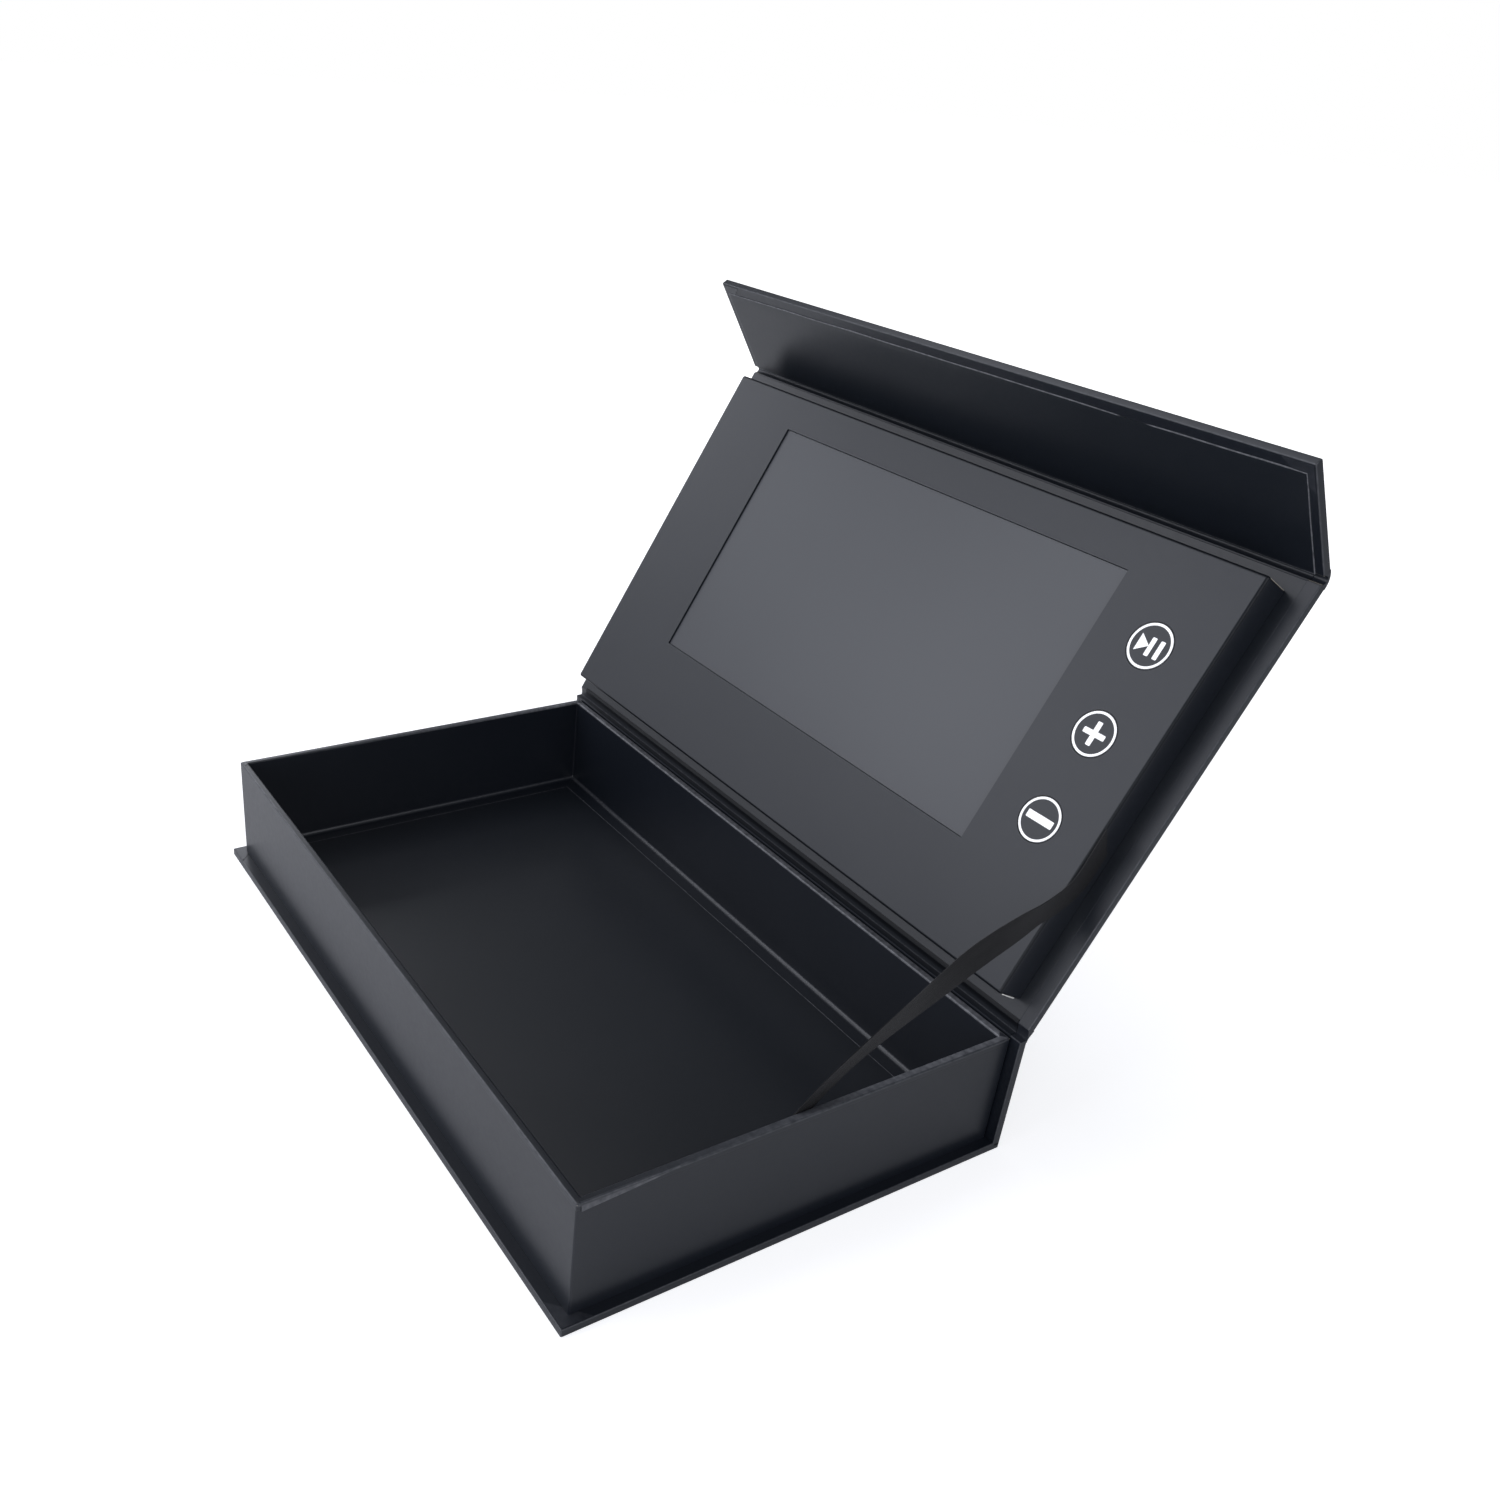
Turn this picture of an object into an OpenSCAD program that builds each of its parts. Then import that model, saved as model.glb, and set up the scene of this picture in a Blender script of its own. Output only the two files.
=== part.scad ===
// Rigid gift box with a 7 inch video panel in its lid, shown open.
// Origin: centre of the tray on the underside of the base board. X runs along the lid's hinge,
// the tray's front wall faces -Y and the lid stands over +Y.

/* [Tray] */
// Outside width of the tray
tray_w = 238; // [236:1:250]
// Outside depth of the tray, front to back
tray_d = 137; // [136:1:150]
// Height of the tray's rim above the base board
tray_h = 36; // [30:0.5:60]
// Thickness of a tray wall with its paper on both faces
wall_t = 2.3; // [2:0.1:2.6]

/* [Cover] */
// Thickness of a cover board with its paper on both faces
board_t = 2.5; // [2:0.1:3]
// Overhang of the cover past each side of the tray
side_overhang = 3.2; // [1:0.1:6]
// Overhang of the base board past the tray's front wall
front_overhang = 3.8; // [3.8:0.1:6]
// Bare fold between the spine's top and the lid's hinge line
spine_fold = 0.9; // [0.8:0.1:2.5]
// Bare fold between the lid board and the lid's hinge line
lid_fold = 2.5; // [2:0.1:3]
// Bare fold between the lid or the flap board and the flap's hinge line
flap_fold = 1.9; // [1.6:0.1:2.4]
// Angle the lid is open, where the ribbon stops it
lid_open = 119.7; // [100:0.1:125]
// Angle between the flap and the plane of the lid
flap_turn = 62.3; // [0:0.1:90]
// Thickness of the laminated wrapping paper
paper_t = 0.2; // [0.15:0.05:0.3]

/* [Video panel] */
// Width of the raised panel in the lid
panel_w = 229; // [226:1:230]
// Length of the raised panel, up the lid
panel_l = 126.5; // [124:0.5:127]
// Height of the panel's face above the lid's inner face
panel_h = 10; // [10:0.5:14]
// Distance from the lid's hinge line to the panel
panel_start = 8.4; // [7.5:0.1:9]
// Thickness of the card behind the panel's face
face_card_t = 1; // [0.8:0.1:1.2]
// Thickness of the cards along the panel's sides
side_card_t = 1.5; // [1:0.1:2]

/* [Screen] */
// Width of the picture area
view_w = 154.1; // [150:0.1:155]
// Height of the picture area
view_l = 85.9; // [84:0.1:86.5]
// Distance from the panel's lower edge to the picture area
view_start = 28.7; // [28:0.1:30]
// Width of the screen over its metal frame
screen_w = 165; // [163:0.5:166]
// Height of the screen over its metal frame
screen_l = 99.5; // [98:0.5:100]
// Thickness of the screen over its metal frame
screen_t = 3.2; // [2.8:0.1:3.4]

/* [Buttons] */
// Diameter of a button's cap
button_d = 13.4; // [12:0.1:14]
// Distance between neighbouring buttons
button_pitch = 27; // [22:0.5:28]
// Distance from the panel's right side to the buttons
button_side = 18.7; // [17:0.1:20]
// Distance that a button travels when pressed
button_travel = 0.4; // [0.2:0.05:0.5]

/* [Ribbon] */
// Width of the ribbon that stops the lid
ribbon_w = 7; // [4:0.5:8]
// Thickness of the ribbon
ribbon_t = 0.3; // [0.2:0.05:0.4]

/* [Magnets] */
// Diameter of a closing magnet
magnet_d = 10; // [8:0.5:12]
// Thickness of a closing magnet
magnet_t = 1.2; // [1:0.1:1.3]
// Distance between the two closing magnets
magnet_spread = 140; // [80:1:200]

/* [Hidden] */
$fn = 64;

// A cut runs this far past the face it opens
past = 1;
// Margin of wrapping paper turned in over a board's edge
turn_in = 14;
// Bare margin between a board's edge and the lining on it
lining_margin = 4;
// Gap between the lining under the closed lid and the tray's rim
lid_rest_gap = 0.3;
// Gap between the closed flap's edge and the base board
flap_foot_gap = 0.25;
// Gap between the tray and the spine that is glued to it
spine_gap = 0.5;
// Running gap round a button's cap and stem
button_gap = 0.3;
// Height of the hinge line above the closed lid's inner face
plane_lift = 0.7;

cover_w = tray_w + 2 * side_overhang;
rim_z = board_t + tray_h;
closed_z = rim_z + lid_rest_gap + paper_t;
spine_inner_y = tray_d / 2 + spine_gap;
spine_outer_y = spine_inner_y + board_t;
hinge_y = (spine_inner_y + spine_outer_y) / 2;
hinge_z = closed_z + plane_lift;
spine_top_z = hinge_z - spine_fold;
base_front_y = -tray_d / 2 - front_overhang;

// The flap hangs in front of the tray, flush with the base board's front edge
flap_axis_s = hinge_y - base_front_y - board_t / 2;
flap_l = closed_z + board_t / 2 - board_t - flap_foot_gap;
lid_edge_s = flap_axis_s - flap_fold;

// Inside faces of the tray
inner_x = tray_w / 2 - wall_t;
inner_y = tray_d / 2 - wall_t;
wall_core_t = wall_t - 2 * paper_t;
floor_z = board_t + wall_t;

// The panel's own edges and the space inside its cards, in the lid's frame
panel_x = panel_w / 2;
panel_end = panel_start + panel_l;
panel_foot = paper_t;
card_top = panel_h - paper_t;
card_foot = card_top - face_card_t;
bay_x = panel_x - paper_t - side_card_t;
bay_start = panel_start + paper_t + side_card_t;
bay_end = panel_end - paper_t - side_card_t;

view_s = panel_start + view_start;
screen_s = view_s - 6.8;
screen_foot = card_foot - screen_t;
buttons_x = panel_x - button_side;
buttons_s = view_s + view_l / 2;

// Closing magnets: distance from the flap's fold, and the same height in the tray's front wall
magnet_v = 24;
magnet_z = closed_z + board_t / 2 - magnet_v;

// Reed switch in the panel and the magnet in the tray's right wall that is beside it when closed
sensor_x = 107.5;
sensor_s = 126;
sensor_d = 2.2;
sensor_l = 13;
sensor_h = 2.4;
trigger_d = 8;
trigger_t = 1.2;
trigger_y = hinge_y - sensor_s;
trigger_z = rim_z - 8;

// The main board sits at the panel's left, its socket in the left side
board_left = -bay_x + 0.6;
board_right = -52;
board_low_s = 20;
board_high_s = 62;
board_foot = 1.4;
board_top = 2.6;
usb_s = 41;
usb_w = 7.6;
usb_h = 2.7;
usb_l = 5.6;
usb_cut = 0.6;

// Screen: play in its frame, thickness of the glass and of the frame's sheet, ends of its cable
screen_play = 0.4;
glass_t = 1;
frame_t = 0.2;
glass_top = card_foot - frame_t;
glass_foot = glass_top - glass_t;
flex_left = -75;
flex_right = -55;

// Battery between two corners, and the two leads from it
battery_low = [-38, 40, 0.8];
battery_high = [26, 92, 4.8];
battery_leads_s = [51, 54];

speaker_x = -97.5;
speaker_s = 98;
speaker_d = 26;
speaker_foot = 3.6;
speaker_leads_x = [speaker_x - 1.25, speaker_x + 1.25];

// Wires: diameter, and height of a wire's middle over the board
lead_d = 1;
lead_h = 3.3;

// Row of switches behind the buttons, and the flat cable to it
switch_board_half_w = 7;
switch_board_low_s = 38;
switch_board_high_s = 120;
switch_board_foot = 2.4;
switch_board_t = 1;
switch_t = 3.4;
switch_floor_t = 1.2;
cable_low_s = 22;
cable_w = 8;
cable_foot = 0.7;
cable_t = 0.3;

// Directions up the open lid and out of its inner face in the Y-Z plane, and a point in the lid's frame
up_lid = [-cos(lid_open), sin(lid_open)];
out_lid = [-sin(lid_open), -cos(lid_open)];
function lid_point(s, h) = [hinge_y, hinge_z] + up_lid * s + out_lid * (h + plane_lift);
// Gap kept between a fold's paper and the board that moves away from it
fold_clear = 0.2;

// Middle of the ribbon in the Y-Z plane. Its upper end is glued to the panel's right side, where it
// is given up the lid and above its face; then it turns off, spans to the rim and runs down the wall.
ribbon_on_panel = [[57, 6.9], [51.5, 6.7], [46, 6.7], [42, 7.6], [38.3, 9.6], [35, 12.3]];
ribbon_span = [
    [72, 75.5], [68.3, 74.5], [64.3, 73.2], [58.7, 71.4], [53.4, 69.6], [48, 67.3], [42.4, 64.4],
    [36.3, 61.1], [29.8, 57.5], [22.9, 53.7], [16.4, 49.9], [10.8, 46.3], [5.1, 42], [-0.5, 37.2],
    [-6, 31.4], [-11, 25], [-15, 17.8], [-18, 10]
];
ribbon_route = concat([for (p = ribbon_on_panel) lid_point(p[0], p[1])], ribbon_span);
// Its twist and its place across, as pairs of a point's number on the route and the value there
ribbon_twist = [[0, 0], [4, 0], [6, 2], [9, -17], [11, -20], [13, -13], [16, -9], [19, -9], [23, 0]];
ribbon_x = [[0, panel_x + 0.4], [4, panel_x + 0.4], [9, 115.3], [18, 115.8], [20, 116], [23, inner_x - 0.4]];

// Box between two opposite corners
module block(low, high) {
    translate(low)
        cube(high - low);
}

// Outline in the Y-Z plane drawn out along X, centred
module along_x(length) {
    rotate([90, 0, 90])
        linear_extrude(length, center = true)
            children();
}

// The lid's frame: x across, y up the lid from the hinge line, z out of its inner face
module on_lid() {
    translate([0, hinge_y, hinge_z])
        rotate([180 - lid_open, 0, 0])
            translate([0, 0, plane_lift])
                children();
}

// The flap's frame: y from the flap's hinge line to its free edge, z towards the inside
module on_flap() {
    on_lid()
        translate([0, flap_axis_s, -board_t / 2])
            rotate([flap_turn, 0, 0])
                children();
}

// The spine's frame: y up the spine from the base board's underside, z towards the tray
module on_spine() {
    translate([0, spine_outer_y, 0])
        rotate([90, 0, 0])
            children();
}

// Bare board of a wrapped panel that lies on z = 0 with its outer face down.
// A capped end leaves room for the paper over it.
module board_core(width, from, to, cap_from, cap_to) {
    block(
        [-width / 2 + paper_t, from + (cap_from ? paper_t : 0), paper_t],
        [width / 2 - paper_t, to - (cap_to ? paper_t : 0), board_t - paper_t]
    );
}

// Paper round such a board: outer face, side edges, capped ends and the turned-in margin
module board_wrap(width, from, to, cap_from, cap_to) {
    difference() {
        block([-width / 2, from, 0], [width / 2, to, board_t]);
        block(
            [-width / 2 + paper_t, from + (cap_from ? paper_t : -past), paper_t],
            [width / 2 - paper_t, to - (cap_to ? paper_t : -past), board_t - paper_t]
        );
        block(
            [-width / 2 + turn_in, from + (cap_from ? turn_in : -past), board_t / 2],
            [width / 2 - turn_in, to - (cap_to ? turn_in : -past), board_t + past]
        );
    }
}

// Point on a smooth curve [from, its direction, to, its direction, push of its middle], at t from 0 to 1
function curve_point(curve, t) =
    let (reach = norm(curve[2] - curve[0]) * 0.4)
    let (a = curve[0] + curve[1] * reach, b = curve[2] - curve[3] * reach)
    curve[0] * pow(1 - t, 3) + 3 * a * t * pow(1 - t, 2) + 3 * b * t * t * (1 - t) + curve[2] * pow(t, 3)
    + curve[4] * pow(sin(180 * t), 2);
// Unit normal on the left of that curve
function curve_normal(curve, t) =
    let (step = 0.01)
    let (run = curve_point(curve, t + step) - curve_point(curve, t - step))
    [-run[1], run[0]] / norm(run);

// Strip of paper along such a curve, its thickness on the left side
module curved_strip(curve) {
    steps = 14;
    face = [for (i = [0:steps]) curve_point(curve, i / steps)];
    back = [for (i = [steps:-1:0]) face[i] + paper_t * curve_normal(curve, i / steps)];
    polygon(concat(face, back));
}

// Rounded rectangle with exact arcs at its corners
module rounded_rect(width, depth, radius) {
    square([width - 2 * radius, depth], center = true);
    square([width, depth - 2 * radius], center = true);
    for (x = [-1, 1], y = [-1, 1])
        translate([x * (width / 2 - radius), y * (depth / 2 - radius)])
            circle(radius);
}

// Straight insulated wire between two points
module wire(from, to) {
    run = to - from;
    translate(from)
        rotate([0, acos(run[2] / norm(run)), atan2(run[1], run[0])])
            cylinder(h = norm(run), d = lead_d);
}

// Solder joint that a wire ends in, standing on the main board
module solder_joint(x, s) {
    joint_h = 1.4;
    joint_d = 1.6;
    translate([x, s, board_top])
        cylinder(h = joint_h, d = joint_d);
}

// Base and spine of the cover

module base_board() {
    color("tan")
        board_core(cover_w, base_front_y, tray_d / 2, true, false);
}

// The paper under the base board also makes the round fold up to the spine
module base_wrap() {
    fold_r = spine_outer_y - tray_d / 2;
    color([0.16, 0.17, 0.19]) {
        board_wrap(cover_w, base_front_y, tray_d / 2, true, false);
        along_x(cover_w)
            translate([tray_d / 2, fold_r])
                intersection() {
                    difference() {
                        circle(fold_r);
                        circle(fold_r - paper_t);
                    }
                    translate([0, -fold_r])
                        square(fold_r);
                }
    }
}

module spine_board() {
    color("tan")
        on_spine()
            board_core(cover_w, spine_outer_y - tray_d / 2, spine_top_z, false, false);
}

module spine_wrap() {
    color([0.16, 0.17, 0.19])
        on_spine()
            board_wrap(cover_w, spine_outer_y - tray_d / 2, spine_top_z, false, false);
}

// Tray glued to the base and the spine

module tray_floor() {
    color("tan")
        block(
            [-tray_w / 2 + paper_t, -tray_d / 2 + paper_t, board_t + paper_t],
            [tray_w / 2 - paper_t, tray_d / 2 - paper_t, floor_z - paper_t]
        );
}

// Wall card from the floor card to just under the rim's paper
module wall_card(low, high) {
    block([low[0], low[1], floor_z - paper_t], [high[0], high[1], rim_z - paper_t]);
}

// The front wall has two pockets for the closing magnets
module tray_front_wall() {
    outer = -tray_d / 2 + paper_t;
    color("tan")
        difference() {
            wall_card([-tray_w / 2 + paper_t, outer], [tray_w / 2 - paper_t, outer + wall_core_t]);
            for (side = [-1, 1])
                translate([side * magnet_spread / 2, outer - past, magnet_z])
                    rotate([-90, 0, 0])
                        cylinder(h = magnet_t + past, d = magnet_d);
        }
}

module tray_back_wall() {
    outer = tray_d / 2 - paper_t;
    color("tan")
        wall_card([-tray_w / 2 + paper_t, outer - wall_core_t], [tray_w / 2 - paper_t, outer]);
}

module side_wall_card() {
    inner = tray_w / 2 - paper_t - wall_core_t;
    reach = tray_d / 2 - paper_t - wall_core_t;
    wall_card([inner, -reach], [tray_w / 2 - paper_t, reach]);
}

module tray_left_wall() {
    color("tan")
        mirror([1, 0, 0])
            side_wall_card();
}

// The right wall has the pocket of the magnet that wakes the screen
module tray_right_wall() {
    color("tan")
        difference() {
            side_wall_card();
            translate([tray_w / 2 - paper_t - trigger_t, trigger_y, trigger_z])
                rotate([0, 90, 0])
                    cylinder(h = trigger_t + past, d = trigger_d);
        }
}

// One sheet of paper: outside, over the rim, down the inside and a little way on the floor
module tray_wrap() {
    corner_r = 0.6;
    floor_turn = 8;
    under_turn = 14;
    inner_corner_r = 0.3;
    color([0.16, 0.17, 0.19])
        difference() {
            translate([0, 0, board_t])
                linear_extrude(tray_h)
                    rounded_rect(tray_w, tray_d, corner_r);
            // Card walls
            difference() {
                block(
                    [-tray_w / 2 + paper_t, -tray_d / 2 + paper_t, board_t + paper_t],
                    [tray_w / 2 - paper_t, tray_d / 2 - paper_t, rim_z - paper_t]
                );
                block(
                    [-inner_x - paper_t, -inner_y - paper_t, floor_z - paper_t],
                    [inner_x + paper_t, inner_y + paper_t, rim_z]
                );
            }
            // Inside of the tray
            translate([0, 0, floor_z])
                linear_extrude(tray_h)
                    rounded_rect(2 * inner_x, 2 * inner_y, inner_corner_r);
            // Bare floor past the turned-in margin
            block(
                [-inner_x + floor_turn, -inner_y + floor_turn, board_t + paper_t],
                [inner_x - floor_turn, inner_y - floor_turn, floor_z + past]
            );
            // Bare underside past the turned-under margin
            block(
                [-tray_w / 2 + under_turn, -tray_d / 2 + under_turn, board_t - past],
                [tray_w / 2 - under_turn, tray_d / 2 - under_turn, floor_z]
            );
        }
}

module floor_lining() {
    margin = 6;
    color([0.2, 0.21, 0.24])
        block(
            [-inner_x + margin, -inner_y + margin, floor_z],
            [inner_x - margin, inner_y - margin, floor_z + paper_t]
        );
}

module tray_magnets() {
    color("silver")
        for (side = [-1, 1])
            translate([side * magnet_spread / 2, -tray_d / 2 + paper_t, magnet_z])
                rotate([-90, 0, 0])
                    cylinder(h = magnet_t, d = magnet_d);
}

module trigger_magnet() {
    color("silver")
        translate([tray_w / 2 - paper_t - trigger_t, trigger_y, trigger_z])
            rotate([0, 90, 0])
                cylinder(h = trigger_t, d = trigger_d);
}

// Folds and ribbon between the base and the lid

module lid_hinge_wrap() {
    color([0.16, 0.17, 0.19])
        along_x(cover_w)
            curved_strip([
                [spine_outer_y, spine_top_z], [0, 1],
                lid_point(lid_fold - fold_clear, -board_t), up_lid, [0, 0]
            ]);
}

// The lining runs from between the spine and the tray into the gutter, where it is pressed
// down onto the outer paper, and out again onto the lid
module lid_hinge_lining() {
    glued = 14;
    pressed = 0.85;
    from = [spine_inner_y, spine_top_z];
    to = lid_point(lid_fold - fold_clear, 0);
    gutter = ([spine_outer_y, spine_top_z] - from + lid_point(lid_fold - fold_clear, -board_t) - to) / 2;
    color([0.2, 0.21, 0.24])
        along_x(cover_w - 2 * lining_margin) {
            curved_strip([from, [0, 1], to, up_lid, gutter * pressed]);
            translate([spine_inner_y - paper_t, spine_top_z - glued])
                square([paper_t, glued]);
        }
}

// Direction of the ribbon at one point of its route, and the ring of four corners round it there
function ribbon_run(i) =
    let (last = len(ribbon_route) - 1)
    let (run = ribbon_route[min(i + 1, last)] - ribbon_route[max(i - 1, 0)])
    run / norm(run);
function ribbon_ring(i) =
    let (run = ribbon_run(i), turn = lookup(i, ribbon_twist))
    let (middle = [lookup(i, ribbon_x), ribbon_route[i][0], ribbon_route[i][1]])
    // Half the width towards the upper edge, and half the thickness towards the right
    let (wide = [sin(turn), cos(turn) * run[1], -cos(turn) * run[0]] * ribbon_w / 2)
    let (thick = [cos(turn), -sin(turn) * run[1], sin(turn) * run[0]] * ribbon_t / 2)
    // The end on the panel is cut at a slant
    let (slant = i == 0 ? [0, run[0], run[1]] * ribbon_w / 2 : [0, 0, 0])
    let (lower = middle - wide + slant, upper = middle + wide - slant)
    [lower - thick, lower + thick, upper + thick, upper - thick];

// Satin ribbon from the panel's right side to the tray's right wall, slightly twisted on its way
module ribbon_stay() {
    rings = len(ribbon_route);
    points = [for (i = [0:rings - 1]) each ribbon_ring(i)];
    sides = [
        for (i = [0:rings - 2], k = [0:3])
            let (a = 4 * i + k, b = 4 * i + (k + 1) % 4)
            each [[a, b + 4, b], [a, a + 4, b + 4]]
    ];
    last = 4 * (rings - 1);
    ends = [[0, 1, 2, 3], [last + 3, last + 2, last + 1, last]];
    color([0.1, 0.1, 0.11])
        polyhedron(points, concat(sides, ends));
}

// Lid

module lid_board() {
    color("tan")
        on_lid()
            translate([0, 0, -board_t])
                board_core(cover_w, lid_fold, lid_edge_s, false, false);
}

module lid_wrap() {
    color([0.16, 0.17, 0.19])
        on_lid()
            translate([0, 0, -board_t])
                board_wrap(cover_w, lid_fold, lid_edge_s, false, false);
}

module lid_lining() {
    reach = cover_w / 2 - lining_margin;
    color([0.28, 0.29, 0.32])
        on_lid()
            block([-reach, lid_fold, 0], [reach, lid_edge_s, paper_t]);
}

// Cards of the raised panel

module panel_rear_side() {
    from = panel_start + paper_t;
    color("tan")
        on_lid()
            block([-panel_x + paper_t, from, panel_foot], [panel_x - paper_t, bay_start, card_foot]);
}

module panel_front_side() {
    to = panel_end - paper_t;
    color("tan")
        on_lid()
            block([-panel_x + paper_t, bay_end, panel_foot], [panel_x - paper_t, to, card_foot]);
}

// The left side has the cut-out of the charging socket
module panel_left_side() {
    color("tan")
        on_lid()
            difference() {
                block([-panel_x + paper_t, bay_start, panel_foot], [-bay_x, bay_end, card_foot]);
                usb_opening();
            }
}

module panel_right_side() {
    color("tan")
        on_lid()
            block([bay_x, bay_start, panel_foot], [panel_x - paper_t, bay_end, card_foot]);
}

module usb_opening() {
    block(
        [-panel_x - past, usb_s - usb_w / 2 - usb_cut, board_top - usb_cut],
        [-bay_x + past, usb_s + usb_w / 2 + usb_cut, board_top + usb_h + usb_cut]
    );
}

// Picture window and button holes, cut through everything in front of the screen
module face_openings(trim) {
    block(
        [-view_w / 2 - trim, view_s - trim, card_foot - past],
        [view_w / 2 + trim, view_s + view_l + trim, panel_h + past]
    );
    for (step = [-1, 0, 1])
        translate([buttons_x, buttons_s + step * button_pitch, card_foot - past])
            cylinder(h = panel_h, d = button_d + 2 * button_gap);
}

module face_card() {
    color("tan")
        on_lid()
            difference() {
                block(
                    [-panel_x + paper_t, panel_start + paper_t, card_foot],
                    [panel_x - paper_t, panel_end - paper_t, card_top]
                );
                face_openings(paper_t);
            }
}

// Paper over the panel's face and sides, turned in round the picture window
module panel_wrap() {
    corner_r = 0.8;
    color([0.3, 0.31, 0.34])
        on_lid()
            difference() {
                translate([0, panel_start + panel_l / 2, panel_foot])
                    linear_extrude(panel_h - panel_foot)
                        rounded_rect(panel_w, panel_l, corner_r);
                difference() {
                    block(
                        [-panel_x + paper_t, panel_start + paper_t, panel_foot - past],
                        [panel_x - paper_t, panel_end - paper_t, card_top]
                    );
                    window_lip();
                }
                face_openings(0);
                usb_opening();
            }
}

// Paper folded back through the card's window
module window_lip() {
    block(
        [-view_w / 2 - paper_t, view_s - paper_t, card_foot],
        [view_w / 2 + paper_t, view_s + view_l + paper_t, card_top]
    );
}

// Bed of die-cut foam: a pocket for each piece, channels for the leads and windows between its ribs
module foam_bed() {
    fit = 0.4;
    flex_room = 3;
    seam_room = 6;
    channel = 3.5;
    button_room = 2;
    color([0.12, 0.12, 0.13])
        on_lid()
            difference() {
                block([-bay_x, bay_start, panel_foot], [bay_x, bay_end, card_foot]);
                // Screen
                block(
                    [-screen_w / 2 - fit, screen_s - fit, screen_foot - fit],
                    [screen_w / 2 + fit, screen_s + screen_l + fit, panel_h]
                );
                // Main board, open to the left side
                block(
                    [-bay_x - past, board_low_s - fit, board_foot - fit],
                    [board_right + fit, board_high_s + fit, panel_h]
                );
                // Flexible cable's bend below the screen
                block(
                    [flex_left - flex_room, screen_s - 2 * flex_room, board_top],
                    [flex_right + flex_room, screen_s, panel_h]
                );
                // Battery and its leads
                block(battery_low - [fit, fit, fit], battery_high + [fit, seam_room, past]);
                block(
                    [board_right - past, battery_leads_s[0] - channel, board_foot],
                    [battery_low[0], battery_leads_s[1] + channel, screen_foot]
                );
                // Speaker and its leads
                translate([speaker_x, speaker_s, speaker_foot - fit])
                    cylinder(h = panel_h, d = speaker_d + 2 * fit);
                block(
                    [speaker_x - channel, board_high_s, board_top],
                    [speaker_x + channel, speaker_s, panel_h]
                );
                // Buttons, their switches and board
                block(
                    [buttons_x - switch_board_half_w - button_room, switch_board_low_s - 4,
                        switch_board_foot - fit],
                    [buttons_x + switch_board_half_w + button_room, switch_board_high_s + 4, panel_h]
                );
                // Cable between the two boards
                block(
                    [board_right - past, cable_low_s - fit, -past],
                    [buttons_x + cable_w, cable_low_s + cable_w + fit, cable_foot + cable_t + fit]
                );
                block(
                    [buttons_x - cable_w / 2 - past, cable_low_s, -past],
                    [buttons_x + cable_w / 2 + past, switch_board_low_s + 4, switch_board_foot]
                );
                // Lid sensor and its leads
                block(
                    [sensor_x - 2, sensor_s - sensor_l / 2 - 2.5, sensor_h - 1.4],
                    [sensor_x + 2, bay_end - 1, sensor_h + 1.6]
                );
                block(
                    [buttons_x + cable_w, switch_board_high_s - 6, sensor_h - 1.4],
                    [sensor_x + 2, switch_board_high_s - 2, sensor_h + 1.6]
                );
                bed_windows();
            }
}

// Windows cut right through the bed between its ribs
module bed_windows() {
    rib = 5;
    high_s = 124;
    // From and to across, and from and to up the lid, on the middle lines of the ribs
    behind_screen = [
        [-78, -42, 66, 94], [-78, -42, 94, high_s + rib / 2], [-40, -18, 102, high_s],
        [-18, 4, 102, high_s], [4, 28, 102, high_s], [30, 54, 36, 66], [54, 78, 36, 66],
        [30, 54, 66, 94], [54, 78, 66, 94], [30, 54, 94, high_s + rib / 2], [54, 78, 94, high_s + rib / 2]
    ];
    for (w = behind_screen)
        block(
            [w[0] + rib / 2, w[2] + rib / 2, -past],
            [w[1] - rib / 2, w[3] - rib / 2, panel_h]
        );
    // Above and below the speaker
    speaker_room = 16;
    side = 3;
    block(
        [-bay_x + side, speaker_s + speaker_room, -past],
        [speaker_x + speaker_d / 2 - 1.5, bay_end - side, panel_h]
    );
    block(
        [-bay_x + side, board_high_s + rib, -past],
        [speaker_x - rib, speaker_s - speaker_room, panel_h]
    );
}

// Screen

// Pressed steel frame round the glass and the backlight
module screen_frame() {
    lip = 1.2;
    slot_side = 2;
    snap_w = 4;
    snap_foot = 1;
    snap_h = 0.8;
    snap_pitch = 30;
    color("gainsboro")
        on_lid()
            difference() {
                block(
                    [-screen_w / 2, screen_s, screen_foot],
                    [screen_w / 2, screen_s + screen_l, card_foot]
                );
                block(
                    [-screen_w / 2 + frame_t, screen_s + frame_t, screen_foot - past],
                    [screen_w / 2 - frame_t, screen_s + screen_l - frame_t, glass_top]
                );
                block(
                    [-view_w / 2 - lip, view_s - lip, screen_foot],
                    [view_w / 2 + lip, view_s + view_l + lip, panel_h]
                );
                // Slot that the flexible cable leaves by
                block(
                    [flex_left - slot_side, screen_s - past, screen_foot - past],
                    [flex_right + slot_side, screen_s + slot_side, screen_foot + snap_foot]
                );
                // Snap windows along both long sides
                for (i = [-2:2])
                    translate([i * snap_pitch, 0, screen_foot + snap_foot])
                        block(
                            [-snap_w / 2, screen_s - past, 0],
                            [snap_w / 2, screen_s + screen_l + past, snap_h]
                        );
            }
}

module screen_glass() {
    color([0.42, 0.43, 0.45])
        on_lid()
            block(
                [-screen_w / 2 + screen_play, screen_s + screen_play, glass_foot],
                [screen_w / 2 - screen_play, screen_s + screen_l - screen_play, glass_top]
            );
}

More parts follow.
